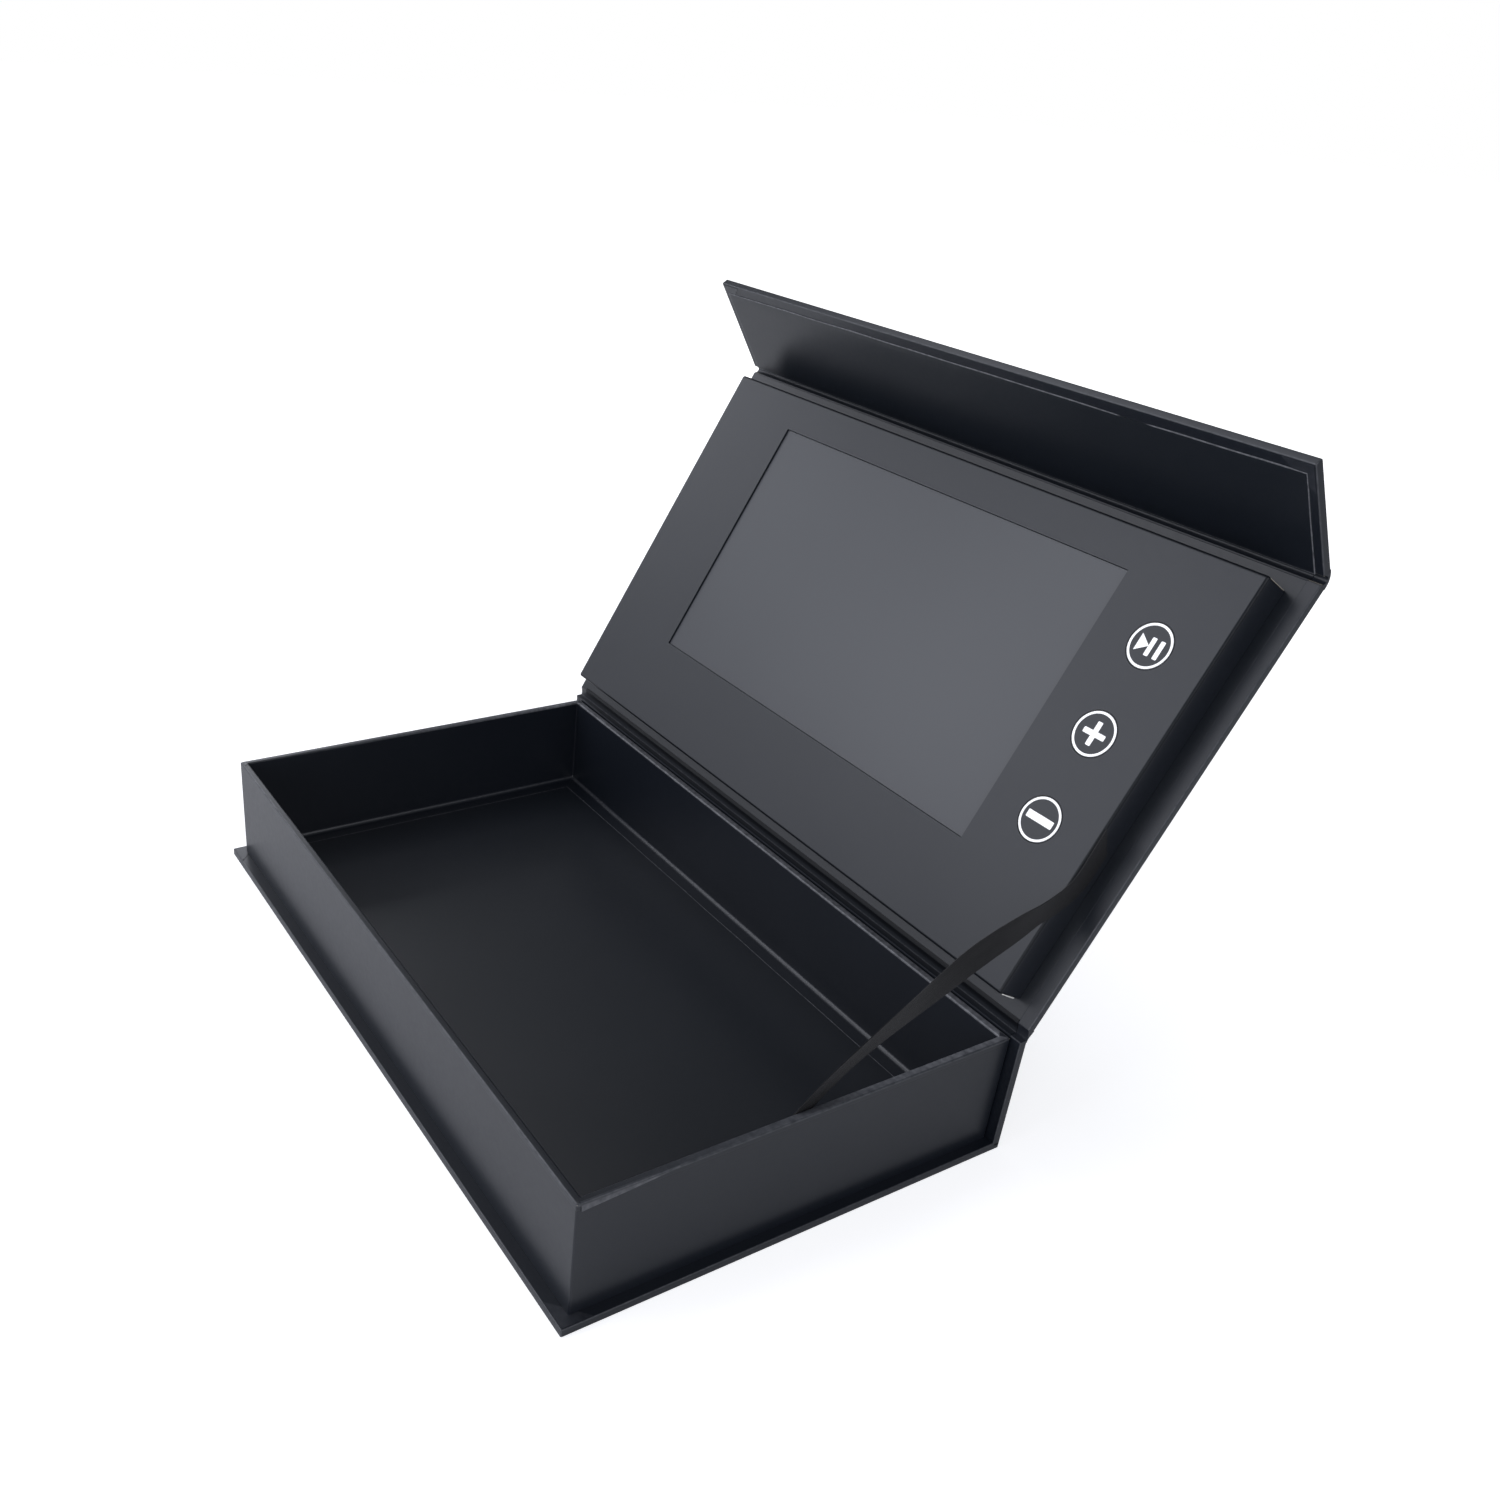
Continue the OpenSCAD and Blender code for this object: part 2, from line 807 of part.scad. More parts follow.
// White moulded frame with the light guide in it, notched for its row of lamps
module backlight() {
    lamp_pitch = 12;
    lamp_w = 4;
    lamp_l = 2.4;
    lamp_h = 0.8;
    guide_in = 0.6;
    color("white")
        on_lid()
            difference() {
                block(
                    [-screen_w / 2 + screen_play, screen_s + screen_play, screen_foot],
                    [screen_w / 2 - screen_play, screen_s + screen_l - screen_play, glass_foot]
                );
                for (i = [-6:6])
                    translate([i * lamp_pitch, screen_s, screen_foot])
                        block([-lamp_w / 2, 0, -past], [lamp_w / 2, lamp_l, lamp_h]);
                // The guide's back lies deeper behind the picture area
                block(
                    [-view_w / 2, view_s, screen_foot - past],
                    [view_w / 2, view_s + view_l, screen_foot + guide_in]
                );
            }
}

// The flexible cable leaves the screen's lower edge and turns back to the main board
module screen_flex() {
    bend_s = screen_s - 0.4;
    low = board_top + 0.5;
    high = screen_foot + 0.5;
    bend_r = (high - low) / 2;
    thickness = 0.15;
    screen_tail = 0.8;
    board_tail = 5;
    color("orange")
        on_lid()
            translate([(flex_left + flex_right) / 2, 0, 0])
                along_x(flex_right - flex_left) {
                    difference() {
                        translate([bend_s, low + bend_r])
                            circle(bend_r + thickness / 2);
                        translate([bend_s, low + bend_r])
                            circle(bend_r - thickness / 2);
                        translate([bend_s, 0])
                            square([2 * panel_h, panel_h]);
                    }
                    translate([bend_s, high - thickness / 2])
                        square([screen_tail, thickness]);
                    translate([bend_s, low - thickness / 2])
                        square([board_tail, thickness]);
                }
}

// Electronics behind and beside the screen

module main_board() {
    hole_d = 2;
    hole_in = 3;
    color([0.05, 0.3, 0.15])
        on_lid()
            difference() {
                block(
                    [board_left, board_low_s, board_foot],
                    [board_right, board_high_s, board_top]
                );
                for (x = [board_left + hole_in, board_right - hole_in])
                    for (s = [board_low_s + hole_in, board_high_s - hole_in])
                        translate([x, s, board_foot - past])
                            cylinder(h = board_top, d = hole_d);
            }
}

// Chip of a size in the middle of a place on the main board
module board_chip(place, size) {
    on_lid()
        translate([place[0] - size[0] / 2, place[1] - size[1] / 2, board_top])
            cube(size);
}

module video_chip() {
    color([0.08, 0.08, 0.08])
        board_chip([-87, 39], [10, 10, 1]);
}

module memory_chip() {
    color([0.08, 0.08, 0.08])
        board_chip([-89, 54], [12, 8, 0.8]);
}

// Metal can with round ends
module clock_crystal() {
    can_l = 7;
    can_r = 1.6;
    color("silver")
        on_lid()
            translate([-76, 53, board_top])
                linear_extrude(1) {
                    square([can_l, 2 * can_r], center = true);
                    for (side = [-1, 1])
                        translate([side * can_l / 2, 0])
                            circle(can_r);
                }
}

// Socket with the slot that the screen's cable slides into
module flex_socket() {
    from = screen_s + 4;
    to = screen_s + 8;
    side = 2;
    slot_side = 0.2;
    slot_foot = 0.3;
    slot_h = 0.5;
    socket_h = 1.2;
    color("ivory")
        on_lid()
            difference() {
                block([flex_left - side, from, board_top], [flex_right + side, to, board_top + socket_h]);
                block(
                    [flex_left - slot_side, from - past, board_top + slot_foot],
                    [flex_right + slot_side, from + 1, board_top + slot_foot + slot_h]
                );
            }
}

// Charging socket: folded steel shell round a plastic tongue
module usb_port() {
    shell = 0.3;
    mouth = -panel_x + 0.3;
    tongue_in = 0.6;
    tongue_side = 1.6;
    tongue_foot = 1.5;
    tongue_t = 0.6;
    color("silver")
        on_lid() {
            difference() {
                block(
                    [mouth, usb_s - usb_w / 2, board_top],
                    [mouth + usb_l, usb_s + usb_w / 2, board_top + usb_h]
                );
                block(
                    [mouth - past, usb_s - usb_w / 2 + shell, board_top + shell],
                    [mouth + usb_l - shell, usb_s + usb_w / 2 - shell, board_top + usb_h - shell]
                );
            }
            translate([mouth, usb_s, board_top + tongue_foot])
                block(
                    [tongue_in, -usb_w / 2 + tongue_side, 0],
                    [usb_l, usb_w / 2 - tongue_side, tongue_t]
                );
        }
}

// Pouch cell with the folded seam at its upper end
module battery() {
    seam_l = 3;
    seam_side = 1;
    seam_foot = 1.6;
    seam_t = 0.8;
    color("silver")
        on_lid() {
            block(battery_low, battery_high - [0, seam_l, 0]);
            block(
                [battery_low[0] + seam_side, battery_high[1] - seam_l, battery_low[2] + seam_foot],
                [battery_high[0] - seam_side, battery_high[1], battery_low[2] + seam_foot + seam_t]
            );
        }
}

module battery_leads() {
    joint_x = board_right - 2;
    color("red")
        on_lid()
            for (s = battery_leads_s) {
                wire([joint_x, s, lead_h], [battery_low[0], s, lead_h]);
                solder_joint(joint_x, s);
            }
}

// Round speaker: pressed basket, magnet and back plate turned as one shape
module speaker() {
    color([0.25, 0.25, 0.27])
        on_lid()
            translate([speaker_x, speaker_s, speaker_foot])
                rotate_extrude()
                    polygon([
                        [0, 0], [6.6, 0], [6.6, 2], [9, 2.4], [11, 4.2], [speaker_d / 2, 4.2],
                        [speaker_d / 2, 5], [11.6, 5], [11.6, 4.6], [10.6, 4.6], [8.4, 2.9],
                        [7.2, 2.7], [7.2, 3.2], [5.6, 3.2], [5.6, 1], [4.8, 1], [4.8, 3.2], [0, 3.2]
                    ]);
}

// Thin film cone with a rolled edge and a centre dome
module speaker_cone() {
    film = 0.15;
    color([0.75, 0.75, 0.72])
        on_lid()
            translate([speaker_x, speaker_s, speaker_foot + 3.6])
                rotate_extrude()
                    polygon([
                        [0, 0.9], [2.6, 0.6], [5, 0], [8.2, 0.9], [9.4, 1.3], [10.6, 1.15],
                        [11.5, 1.1], [11.5, 1.1 + film], [10.6, 1.15 + film], [9.4, 1.3 + film],
                        [8.2, 0.9 + film], [5, film], [2.6, 0.6 + film], [0, 0.9 + film]
                    ]);
}

module speaker_leads() {
    joint_s = board_high_s - 2;
    // Middle of the basket's rim
    rim_h = 4.6;
    color("black")
        on_lid()
            for (x = speaker_leads_x) {
                wire([x, joint_s, lead_h], [x, speaker_s - speaker_d / 2, speaker_foot + rim_h]);
                solder_joint(x, joint_s);
            }
}

// Button row

module button_board() {
    color([0.05, 0.3, 0.15])
        on_lid()
            block(
                [buttons_x - switch_board_half_w, switch_board_low_s, switch_board_foot],
                [buttons_x + switch_board_half_w, switch_board_high_s, switch_board_foot + switch_board_t]
            );
}

// Three switches with a round guide bore each
module button_switches() {
    half = 3;
    guide_d = 3.4;
    foot = switch_board_foot + switch_board_t;
    color([0.1, 0.1, 0.1])
        on_lid()
            for (step = [-1, 0, 1])
                translate([buttons_x, buttons_s + step * button_pitch, foot])
                    difference() {
                        block([-half, -half, 0], [half, half, switch_t]);
                        translate([0, 0, switch_floor_t])
                            cylinder(h = switch_t, d = guide_d);
                    }
}

// Flat cable from the main board along the panel's lower edge and up to the button board
module button_cable() {
    tail = 0.5;
    turn_s = switch_board_low_s + 3;
    rise = 1.5;
    color("white")
        on_lid() {
            block(
                [board_right - tail, cable_low_s, cable_foot],
                [buttons_x + cable_w / 2, cable_low_s + cable_w, cable_foot + cable_t]
            );
            block(
                [buttons_x - cable_w / 2, cable_low_s, cable_foot],
                [buttons_x + cable_w / 2, turn_s, cable_foot + cable_t]
            );
            block(
                [buttons_x - cable_w / 2, turn_s - rise, cable_foot],
                [buttons_x + cable_w / 2, turn_s, switch_board_foot]
            );
        }
}

// Glass reed switch beside the buttons
module lid_sensor() {
    color([0.5, 0.75, 0.6])
        on_lid()
            translate([sensor_x, sensor_s - sensor_l / 2 - 0.5, sensor_h])
                rotate([-90, 0, 0])
                    cylinder(h = sensor_l, d = sensor_d);
}

// Button: flush cap, collar behind the card and stem into its switch
module button(step) {
    cap_foot = card_foot - 0.1;
    collar_lip = 1.3;
    collar_t = 0.7;
    collar_d = button_d + 2 * collar_lip;
    stem_d = 3;
    stem_gap = 0.4;
    stem_foot = switch_board_foot + switch_board_t + switch_floor_t + button_travel + stem_gap;
    on_lid()
        translate([buttons_x, buttons_s + step * button_pitch, 0]) {
            translate([0, 0, cap_foot])
                cylinder(h = panel_h - cap_foot, d = button_d);
            translate([0, 0, cap_foot - collar_t])
                cylinder(h = collar_t, d = collar_d);
            translate([0, 0, stem_foot])
                cylinder(h = cap_foot - stem_foot, d = stem_d);
        }
}

module play_button() {
    color([0.3, 0.31, 0.34])
        button(1);
}

module plus_button() {
    color([0.3, 0.31, 0.34])
        button(0);
}

module minus_button() {
    color([0.3, 0.31, 0.34])
        button(-1);
}

// Flap and its fold

// Place in the lid's frame of a point given in the flap's frame
function flap_point(v, m) =
    [flap_axis_s, -board_t / 2]
    + v * [cos(flap_turn), sin(flap_turn)]
    + m * [-sin(flap_turn), cos(flap_turn)];

// Paper over the flap's fold on one face of the boards, its middle pushed out of that face
module flap_fold_strip(height, width, push) {
    on_lid()
        along_x(width)
            curved_strip([
                [lid_edge_s, height - board_t / 2], [1, 0],
                flap_point(flap_fold - fold_clear, height), [cos(flap_turn), sin(flap_turn)],
                push * [-sin(flap_turn / 2), cos(flap_turn / 2)]
            ]);
}

module flap_hinge_wrap() {
    color([0.16, 0.17, 0.19])
        flap_fold_strip(-board_t / 2, cover_w, 0);
}

module flap_hinge_lining() {
    pressed = 0.5;
    color([0.28, 0.29, 0.32])
        flap_fold_strip(board_t / 2, cover_w - 2 * lining_margin, -pressed);
}

// The flap's board has a pocket for each closing magnet
module flap_board() {
    color("tan")
        on_flap()
            difference() {
                translate([0, 0, -board_t / 2])
                    board_core(cover_w, flap_fold, flap_l, false, true);
                for (side = [-1, 1])
                    translate([side * magnet_spread / 2, magnet_v, board_t / 2 - paper_t - magnet_t])
                        cylinder(h = magnet_t + past, d = magnet_d);
            }
}

module flap_wrap() {
    color([0.16, 0.17, 0.19])
        on_flap()
            translate([0, 0, -board_t / 2])
                board_wrap(cover_w, flap_fold, flap_l, false, true);
}

module flap_lining() {
    reach = cover_w / 2 - lining_margin;
    color([0.2, 0.21, 0.24])
        on_flap()
            block([-reach, flap_fold, board_t / 2], [reach, flap_l - lining_margin, board_t / 2 + paper_t]);
}

module flap_magnets() {
    color("silver")
        on_flap()
            for (side = [-1, 1])
                translate([side * magnet_spread / 2, magnet_v, board_t / 2 - paper_t - magnet_t])
                    cylinder(h = magnet_t, d = magnet_d);
}

base_board();
base_wrap();
spine_board();
spine_wrap();
tray_floor();
tray_front_wall();
tray_back_wall();
tray_left_wall();
tray_right_wall();
tray_wrap();
floor_lining();
tray_magnets();
trigger_magnet();
lid_hinge_wrap();
lid_hinge_lining();
ribbon_stay();
lid_board();
lid_wrap();
lid_lining();
panel_rear_side();
panel_front_side();
panel_left_side();
panel_right_side();
face_card();
panel_wrap();
foam_bed();
screen_frame();
screen_glass();
backlight();
screen_flex();
main_board();
video_chip();
memory_chip();
clock_crystal();
flex_socket();
usb_port();
battery();
battery_leads();
speaker();
speaker_cone();
speaker_leads();
button_board();
button_switches();
button_cable();
lid_sensor();
play_button();
plus_button();
minus_button();
flap_hinge_wrap();
flap_hinge_lining();
flap_board();
flap_wrap();
flap_lining();
flap_magnets();
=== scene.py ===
import math
import bpy
import bmesh
from mathutils import Matrix, Vector, noise


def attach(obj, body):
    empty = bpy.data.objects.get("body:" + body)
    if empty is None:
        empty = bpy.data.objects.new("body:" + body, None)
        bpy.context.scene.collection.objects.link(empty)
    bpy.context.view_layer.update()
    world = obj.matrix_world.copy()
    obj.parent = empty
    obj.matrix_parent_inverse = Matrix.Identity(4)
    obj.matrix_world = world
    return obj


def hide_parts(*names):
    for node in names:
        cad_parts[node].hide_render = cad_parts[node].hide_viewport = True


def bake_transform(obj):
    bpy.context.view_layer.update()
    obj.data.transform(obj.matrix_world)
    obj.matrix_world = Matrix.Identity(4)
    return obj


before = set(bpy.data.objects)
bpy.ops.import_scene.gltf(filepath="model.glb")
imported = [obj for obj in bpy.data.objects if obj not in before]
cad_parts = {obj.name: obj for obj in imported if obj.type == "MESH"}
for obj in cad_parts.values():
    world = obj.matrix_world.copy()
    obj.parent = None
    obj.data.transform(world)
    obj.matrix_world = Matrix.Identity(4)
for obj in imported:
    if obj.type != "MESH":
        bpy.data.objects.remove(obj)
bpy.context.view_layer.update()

# All sizes below are in millimetres and turned to metres when a mesh is made.
MM = 0.001

# Sizes of the CAD part that the pieces here are built on
TRAY_W, TRAY_D, RIM_Z, WALL = 238.0, 137.0, 38.5, 2.3
COVER_W, BOARD = 244.4, 2.5
FLOOR_Z = BOARD + WALL
HINGE_Y, HINGE_Z, LIFT = 70.25, 39.7, 0.7
SPINE_IN, SPINE_OUT, SPINE_TOP, BASE_FRONT = 69.0, 71.5, 38.8, -72.3
LID_FOLD, FLAP_AXIS, FLAP_FOLD, FLAP_L = 2.5, 141.3, 1.9, 37.5
LID_EDGE = FLAP_AXIS - FLAP_FOLD
PANEL_W, PANEL_H, PANEL_S, PANEL_L = 229.0, 10.0, 8.4, 126.5
VIEW_W, VIEW_L, VIEW_S = 154.1, 85.9, 37.1
BUTTON_X, BUTTON_S, BUTTON_PITCH, BUTTON_D = 95.8, 80.05, 27.0, 13.4
PAPER = 0.2
# The panel's lower edge in the picture, a little under that of its card
FOOT_S = PANEL_S - 0.7
# Soft edges of the paper: on the wrapped boards, on the tray's rim, at the tray's inner foot and on the panel's face
BOARD_R, RIM_R, INNER_FOOT_R, FACE_R = 0.4, 0.5, 1.6, 0.9
# What the linings leave open: at the sides of the lid and of both folds, round the tray's floor, at the flap's edges
LID_MARGIN, FLOOR_MARGIN, FLAP_SIDE, FLAP_END = 4.0, 6.0, 2.6, 3.5

# The lid's and the flap's own frames, as in the CAD part
LID = (Matrix.Translation((0, HINGE_Y, HINGE_Z)) @ Matrix.Rotation(math.radians(180 - 119.7), 4, "X")
       @ Matrix.Translation((0, 0, LIFT)))
FLAP = LID @ Matrix.Translation((0, FLAP_AXIS, -BOARD / 2)) @ Matrix.Rotation(math.radians(62.3), 4, "X")
ROW = Matrix.Identity(4)


# Materials

def linear(code):
    """Linear colour of a hex sRGB code."""
    parts = [int(code[i:i + 2], 16) / 255 for i in (0, 2, 4)]
    return (*[c / 12.92 if c <= 0.04045 else ((c + 0.055) / 1.055) ** 2.4 for c in parts], 1.0)


def add(tree, kind, settings=None, inputs=None):
    """New node with its settings, and its inputs linked to sockets or set to values."""
    node = tree.nodes.new(kind)
    for key, value in (settings or {}).items():
        setattr(node, key, value)
    for key, value in (inputs or {}).items():
        if isinstance(value, bpy.types.NodeSocket):
            tree.links.new(value, node.inputs[key])
        else:
            node.inputs[key].default_value = value
    return node


def material(name, **inputs):
    """New material with a Principled shader, and its tree, shader and object coordinates."""
    made = bpy.data.materials.new(name)
    made.use_nodes = True
    tree = made.node_tree
    tree.nodes.clear()
    shader = add(tree, "ShaderNodeBsdfPrincipled", None, inputs)
    add(tree, "ShaderNodeOutputMaterial", None, {"Surface": shader.outputs[0]})
    here = add(tree, "ShaderNodeTexCoord").outputs["Object"]
    return made, tree, shader, here


def feed(tree, shader, sockets):
    """Links outputs to the shader's sockets."""
    for name, output in sockets.items():
        tree.links.new(output, shader.inputs[name])


def laminated_paper(name, dark, light, rough):
    """Black paper under a matte film: fibres, a faint orange peel, soft waves, rubbing and raw edges, and painted
    highlights and painted shade set by the attribute edge.
    """
    made, tree, shader, here = material(name)
    # Paper fibres, 0.35 mm
    fibre = add(tree, "ShaderNodeTexNoise", None, {"Vector": here, "Scale": 2900.0, "Detail": 3.0}).outputs[0]
    # Film's orange peel, 1.6 mm
    peel = add(tree, "ShaderNodeTexNoise", None, {"Vector": here, "Scale": 620.0, "Detail": 2.0}).outputs[0]
    # Waves of glued paper, 28 mm
    wave = add(tree, "ShaderNodeTexNoise", None, {"Vector": here, "Scale": 36.0, "Detail": 1.0}).outputs[0]
    tone = add(tree, "ShaderNodeMixRGB", None, {"Fac": wave, "Color1": linear(dark), "Color2": linear(light)}).outputs[0]
    # The attribute edge is about 1 along edges with rubbing, 3 to 5 where a painted highlight lightens an edge, and
    # below 0 where painted shade darkens it
    edge_mark = add(tree, "ShaderNodeAttribute", {"attribute_name": "edge"}).outputs["Fac"]
    patchy = add(tree, "ShaderNodeMath", {"operation": "MULTIPLY"}, {0: edge_mark, 1: peel}).outputs[0]
    wear_and_painted_highlight = add(tree, "ShaderNodeMath", {"operation": "MULTIPLY", "use_clamp": True}, {0: patchy, 1: 0.25}).outputs[0]
    # Light grey of the rubbing, which also paints the highlights where the edge value is high
    colour = add(tree, "ShaderNodeMixRGB", None, {"Fac": wear_and_painted_highlight, "Color1": tone, "Color2": linear("8f9094")}).outputs[0]
    # Painted shade: near black where the edge value is below 0, with the specular turned down there
    painted_shade = add(tree, "ShaderNodeMath", {"operation": "MULTIPLY", "use_clamp": True}, {0: edge_mark, 1: -1.0}).outputs[0]
    colour = add(tree, "ShaderNodeMixRGB", None, {"Fac": painted_shade, "Color1": colour, "Color2": linear("020203")}).outputs[0]
    sheen = add(tree, "ShaderNodeMapRange", None, {"Value": painted_shade, "To Min": 0.5, "To Max": 0.02}).outputs[0]
    gloss = add(tree, "ShaderNodeMapRange", None,
                {"Value": peel, "To Min": rough - 0.04, "To Max": rough + 0.04}).outputs[0]
    bump = None
    for height, strength, distance in ((wave, 0.25, 0.0004), (peel, 0.12, 0.00005), (fibre, 0.15, 0.00003)):
        under = {"Normal": bump} if bump else {}
        bump = add(tree, "ShaderNodeBump", None,
                   {"Height": height, "Strength": strength, "Distance": distance, **under}).outputs[0]
    feed(tree, shader, {"Base Color": colour, "Specular IOR Level": sheen, "Roughness": gloss, "Normal": bump})
    return made


def grained(name, dark, light, size, rough, depth, **inputs):
    """Two tones in grains of a size in mm, with a bump of a depth in mm."""
    made, tree, shader, here = material(name, **inputs)
    grain = add(tree, "ShaderNodeTexNoise", None, {"Vector": here, "Scale": 1000.0 / size, "Detail": 4.0}).outputs[0]
    colour = add(tree, "ShaderNodeMixRGB", None,
                 {"Fac": grain, "Color1": linear(dark), "Color2": linear(light)}).outputs[0]
    gloss = add(tree, "ShaderNodeMapRange", None,
                {"Value": grain, "To Min": rough - 0.06, "To Max": rough + 0.08}).outputs[0]
    bump = add(tree, "ShaderNodeBump", None, {"Height": grain, "Strength": 0.4, "Distance": depth * MM}).outputs[0]
    feed(tree, shader, {"Base Color": colour, "Roughness": gloss, "Normal": bump})
    return made


# Printed black and laminated with a matte film: almost black head-on, grey where it mirrors a light
wrap_paper = laminated_paper("Black laminated wrapping paper", "13171e", "181c23", 0.33)
lining_paper = laminated_paper("Black lining paper", "13171d", "171b21", 0.34)
panel_paper = laminated_paper("Black laminated panel paper", "14181f", "191d23", 0.34)
cap_film = laminated_paper("Black film on the buttons", "15191f", "191d23", 0.34)
# The others by name, two tones, grain in mm, roughness and depth of the bump in mm
# White of the painted glint on the panel's corner, and pressed waste board: dull, with short fibres
glint_white = grained("White of the painted corner glint", "d6d4cd", "f2f1ec", 0.3, 0.7, 0.02)
greyboard = grained("Greyboard", "8d8779", "a39c8d", 0.8, 0.85, 0.05)
# Cut foam: open pores that swallow the light
foam = grained("Black open-cell foam", "151516", "2b2b2d", 0.9, 0.95, 0.4)
# Nickel over stamped steel: bright, hardly textured
steel = grained("Plated spring steel", "a9abae", "c3c5c8", 0.5, 0.3, 0.01, Metallic=1.0)
# Lacquer flowed over the tracks: glossy, slightly cloudy green
solder_mask = grained("Green solder mask", "0d3a1d", "14512a", 2.0, 0.35, 0.02)
# Injection moulded in an eroded tool: fine even grain
white_moulding = grained("White moulded plastic", "d9d9d4", "e8e8e4", 0.4, 0.4, 0.01)
black_moulding = grained("Black moulded plastic", "141415", "1e1e20", 0.4, 0.5, 0.01)
# Cast film over copper: smooth amber
amber_film = grained("Amber polyimide film", "a85d12", "c47a22", 1.5, 0.35, 0.005)
# Aluminium laminate drawn into a pouch: soft metal shine with shallow dents
foil = grained("Battery pouch foil", "9b9c9f", "b6b7ba", 3.0, 0.32, 0.08, Metallic=0.7)
# Extruded insulation: satin red
red_rubber = grained("Red wire insulation", "9c1410", "b32018", 0.6, 0.45, 0.01)
# Pressed polyester film: dull cream
cone_film = grained("Speaker cone film", "b9b3a3", "cbc5b5", 0.7, 0.5, 0.02)
# Fused glass tube: clear, greenish
green_glass = grained("Reed switch glass", "5f8a70", "79a58a", 1.0, 0.12, 0.005, **{"Transmission Weight": 0.6})


def satin_ribbon():
    """Satin weave: fine ribs across the ribbon and a soft sheen along it."""
    made, tree, shader, here = material("Black satin ribbon", **{
        "Specular IOR Level": 0.3, "Sheen Weight": 0.1, "Sheen Roughness": 0.4, "Anisotropic": 0.5})
    flat = add(tree, "ShaderNodeUVMap", {"uv_map": "length"}).outputs[0]
    # Weft ribs every 0.35 mm along the ribbon, whose own coordinates are in mm
    ribs = add(tree, "ShaderNodeTexWave", {"bands_direction": "Y"},
               {"Vector": flat, "Scale": 0.9, "Distortion": 0.6, "Detail": 2.0}).outputs["Fac"]
    # Warp threads every 0.25 mm across it
    threads = add(tree, "ShaderNodeTexWave", {"bands_direction": "X"},
                  {"Vector": flat, "Scale": 1.26, "Distortion": 0.4}).outputs["Fac"]
    weave = add(tree, "ShaderNodeMath", {"operation": "MULTIPLY"}, {0: ribs, 1: threads}).outputs[0]
    colour = add(tree, "ShaderNodeMixRGB", None,
                 {"Fac": weave, "Color1": linear("08080a"), "Color2": linear("131316")}).outputs[0]
    gloss = add(tree, "ShaderNodeMapRange", None, {"Value": weave, "To Min": 0.4, "To Max": 0.55}).outputs[0]
    bump = add(tree, "ShaderNodeBump", None, {"Height": weave, "Strength": 0.5, "Distance": 0.00006}).outputs[0]
    feed(tree, shader, {"Base Color": colour, "Roughness": gloss, "Normal": bump})
    return made


def screen_film():
    """Switched-off screen under an anti-glare film: fine sparkle, even satin grey."""
    made, tree, shader, here = material("Anti-glare screen film")
    # Sparkle of the etched film, 0.12 mm
    sparkle = add(tree, "ShaderNodeTexNoise", None, {"Vector": here, "Scale": 8300.0, "Detail": 1.0}).outputs[0]
    # Uneven backlight foils behind it, 60 mm
    cloud = add(tree, "ShaderNodeTexNoise", None, {"Vector": here, "Scale": 17.0, "Detail": 1.0}).outputs[0]
    colour = add(tree, "ShaderNodeMixRGB", None,
                 {"Fac": cloud, "Color1": linear("393b3f"), "Color2": linear("3e4044")}).outputs[0]
    gloss = add(tree, "ShaderNodeMapRange", None, {"Value": sparkle, "To Min": 0.27, "To Max": 0.31}).outputs[0]
    bump = add(tree, "ShaderNodeBump", None, {"Height": sparkle, "Strength": 0.08, "Distance": 0.00001}).outputs[0]
    feed(tree, shader, {"Base Color": colour, "Roughness": gloss, "Normal": bump})
    return made


def white_ink():
    """Thick screen-printed ink with a slight mottle."""
    # A faint painted glow, emission the ink doesn't have, keeps it the brightest white of the picture
    made, tree, shader, here = material("White screen-printed ink", **{
        "Specular IOR Level": 0.4, "Emission Strength": 0.2, "Emission Color": (1, 1, 1, 1)})
    # Mesh marks of the print, 0.5 mm
    mottle = add(tree, "ShaderNodeTexNoise", None, {"Vector": here, "Scale": 2000.0, "Detail": 2.0}).outputs[0]
    colour = add(tree, "ShaderNodeMixRGB", None,
                 {"Fac": mottle, "Color1": linear("f4f4f4"), "Color2": linear("ffffff")}).outputs[0]
    gloss = add(tree, "ShaderNodeMapRange", None, {"Value": mottle, "To Min": 0.45, "To Max": 0.6}).outputs[0]
    feed(tree, shader, {"Base Color": colour, "Roughness": gloss})
    return made


ribbon_satin = satin_ribbon()
screen_face = screen_film()
ink = white_ink()

# Material of each CAD node that stays in view as it is
FINISH = {
    greyboard: ["base_board", "spine_board", "tray_floor", "tray_front_wall", "tray_back_wall", "tray_left_wall",
                "tray_right_wall", "lid_board", "panel_rear_side", "panel_front_side", "panel_left_side",
                "panel_right_side", "face_card", "flap_board"],
    foam: ["foam_bed"],
    steel: ["tray_magnets", "trigger_magnet", "flap_magnets", "screen_frame", "clock_crystal", "usb_port"],
    solder_mask: ["main_board", "button_board"],
    white_moulding: ["backlight", "flex_socket", "button_cable"],
    black_moulding: ["video_chip", "memory_chip", "button_switches", "speaker_leads", "speaker"],
    amber_film: ["screen_flex"],
    foil: ["battery"],
    red_rubber: ["battery_leads"],
    cone_film: ["speaker_cone"],
    green_glass: ["lid_sensor"],
    screen_face: ["screen_glass"],
    wrap_paper: ["base_wrap", "spine_wrap", "tray_wrap", "lid_wrap", "flap_wrap", "lid_hinge_wrap", "flap_hinge_wrap"],
    lining_paper: ["floor_lining", "lid_lining", "flap_lining", "lid_hinge_lining", "flap_hinge_lining"],
    panel_paper: ["panel_wrap"],
    cap_film: ["play_button", "plus_button", "minus_button"],
    ribbon_satin: ["ribbon_stay"],
}
for finish, names in FINISH.items():
    for name in names:
        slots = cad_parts[name].data.materials
        slots.clear()
        slots.append(finish)


# Building blocks

def held(mesh):
    """Object that holds a mesh while its modifiers work."""
    base = bpy.data.objects.new("base", mesh)
    bpy.context.scene.collection.objects.link(base)
    return base


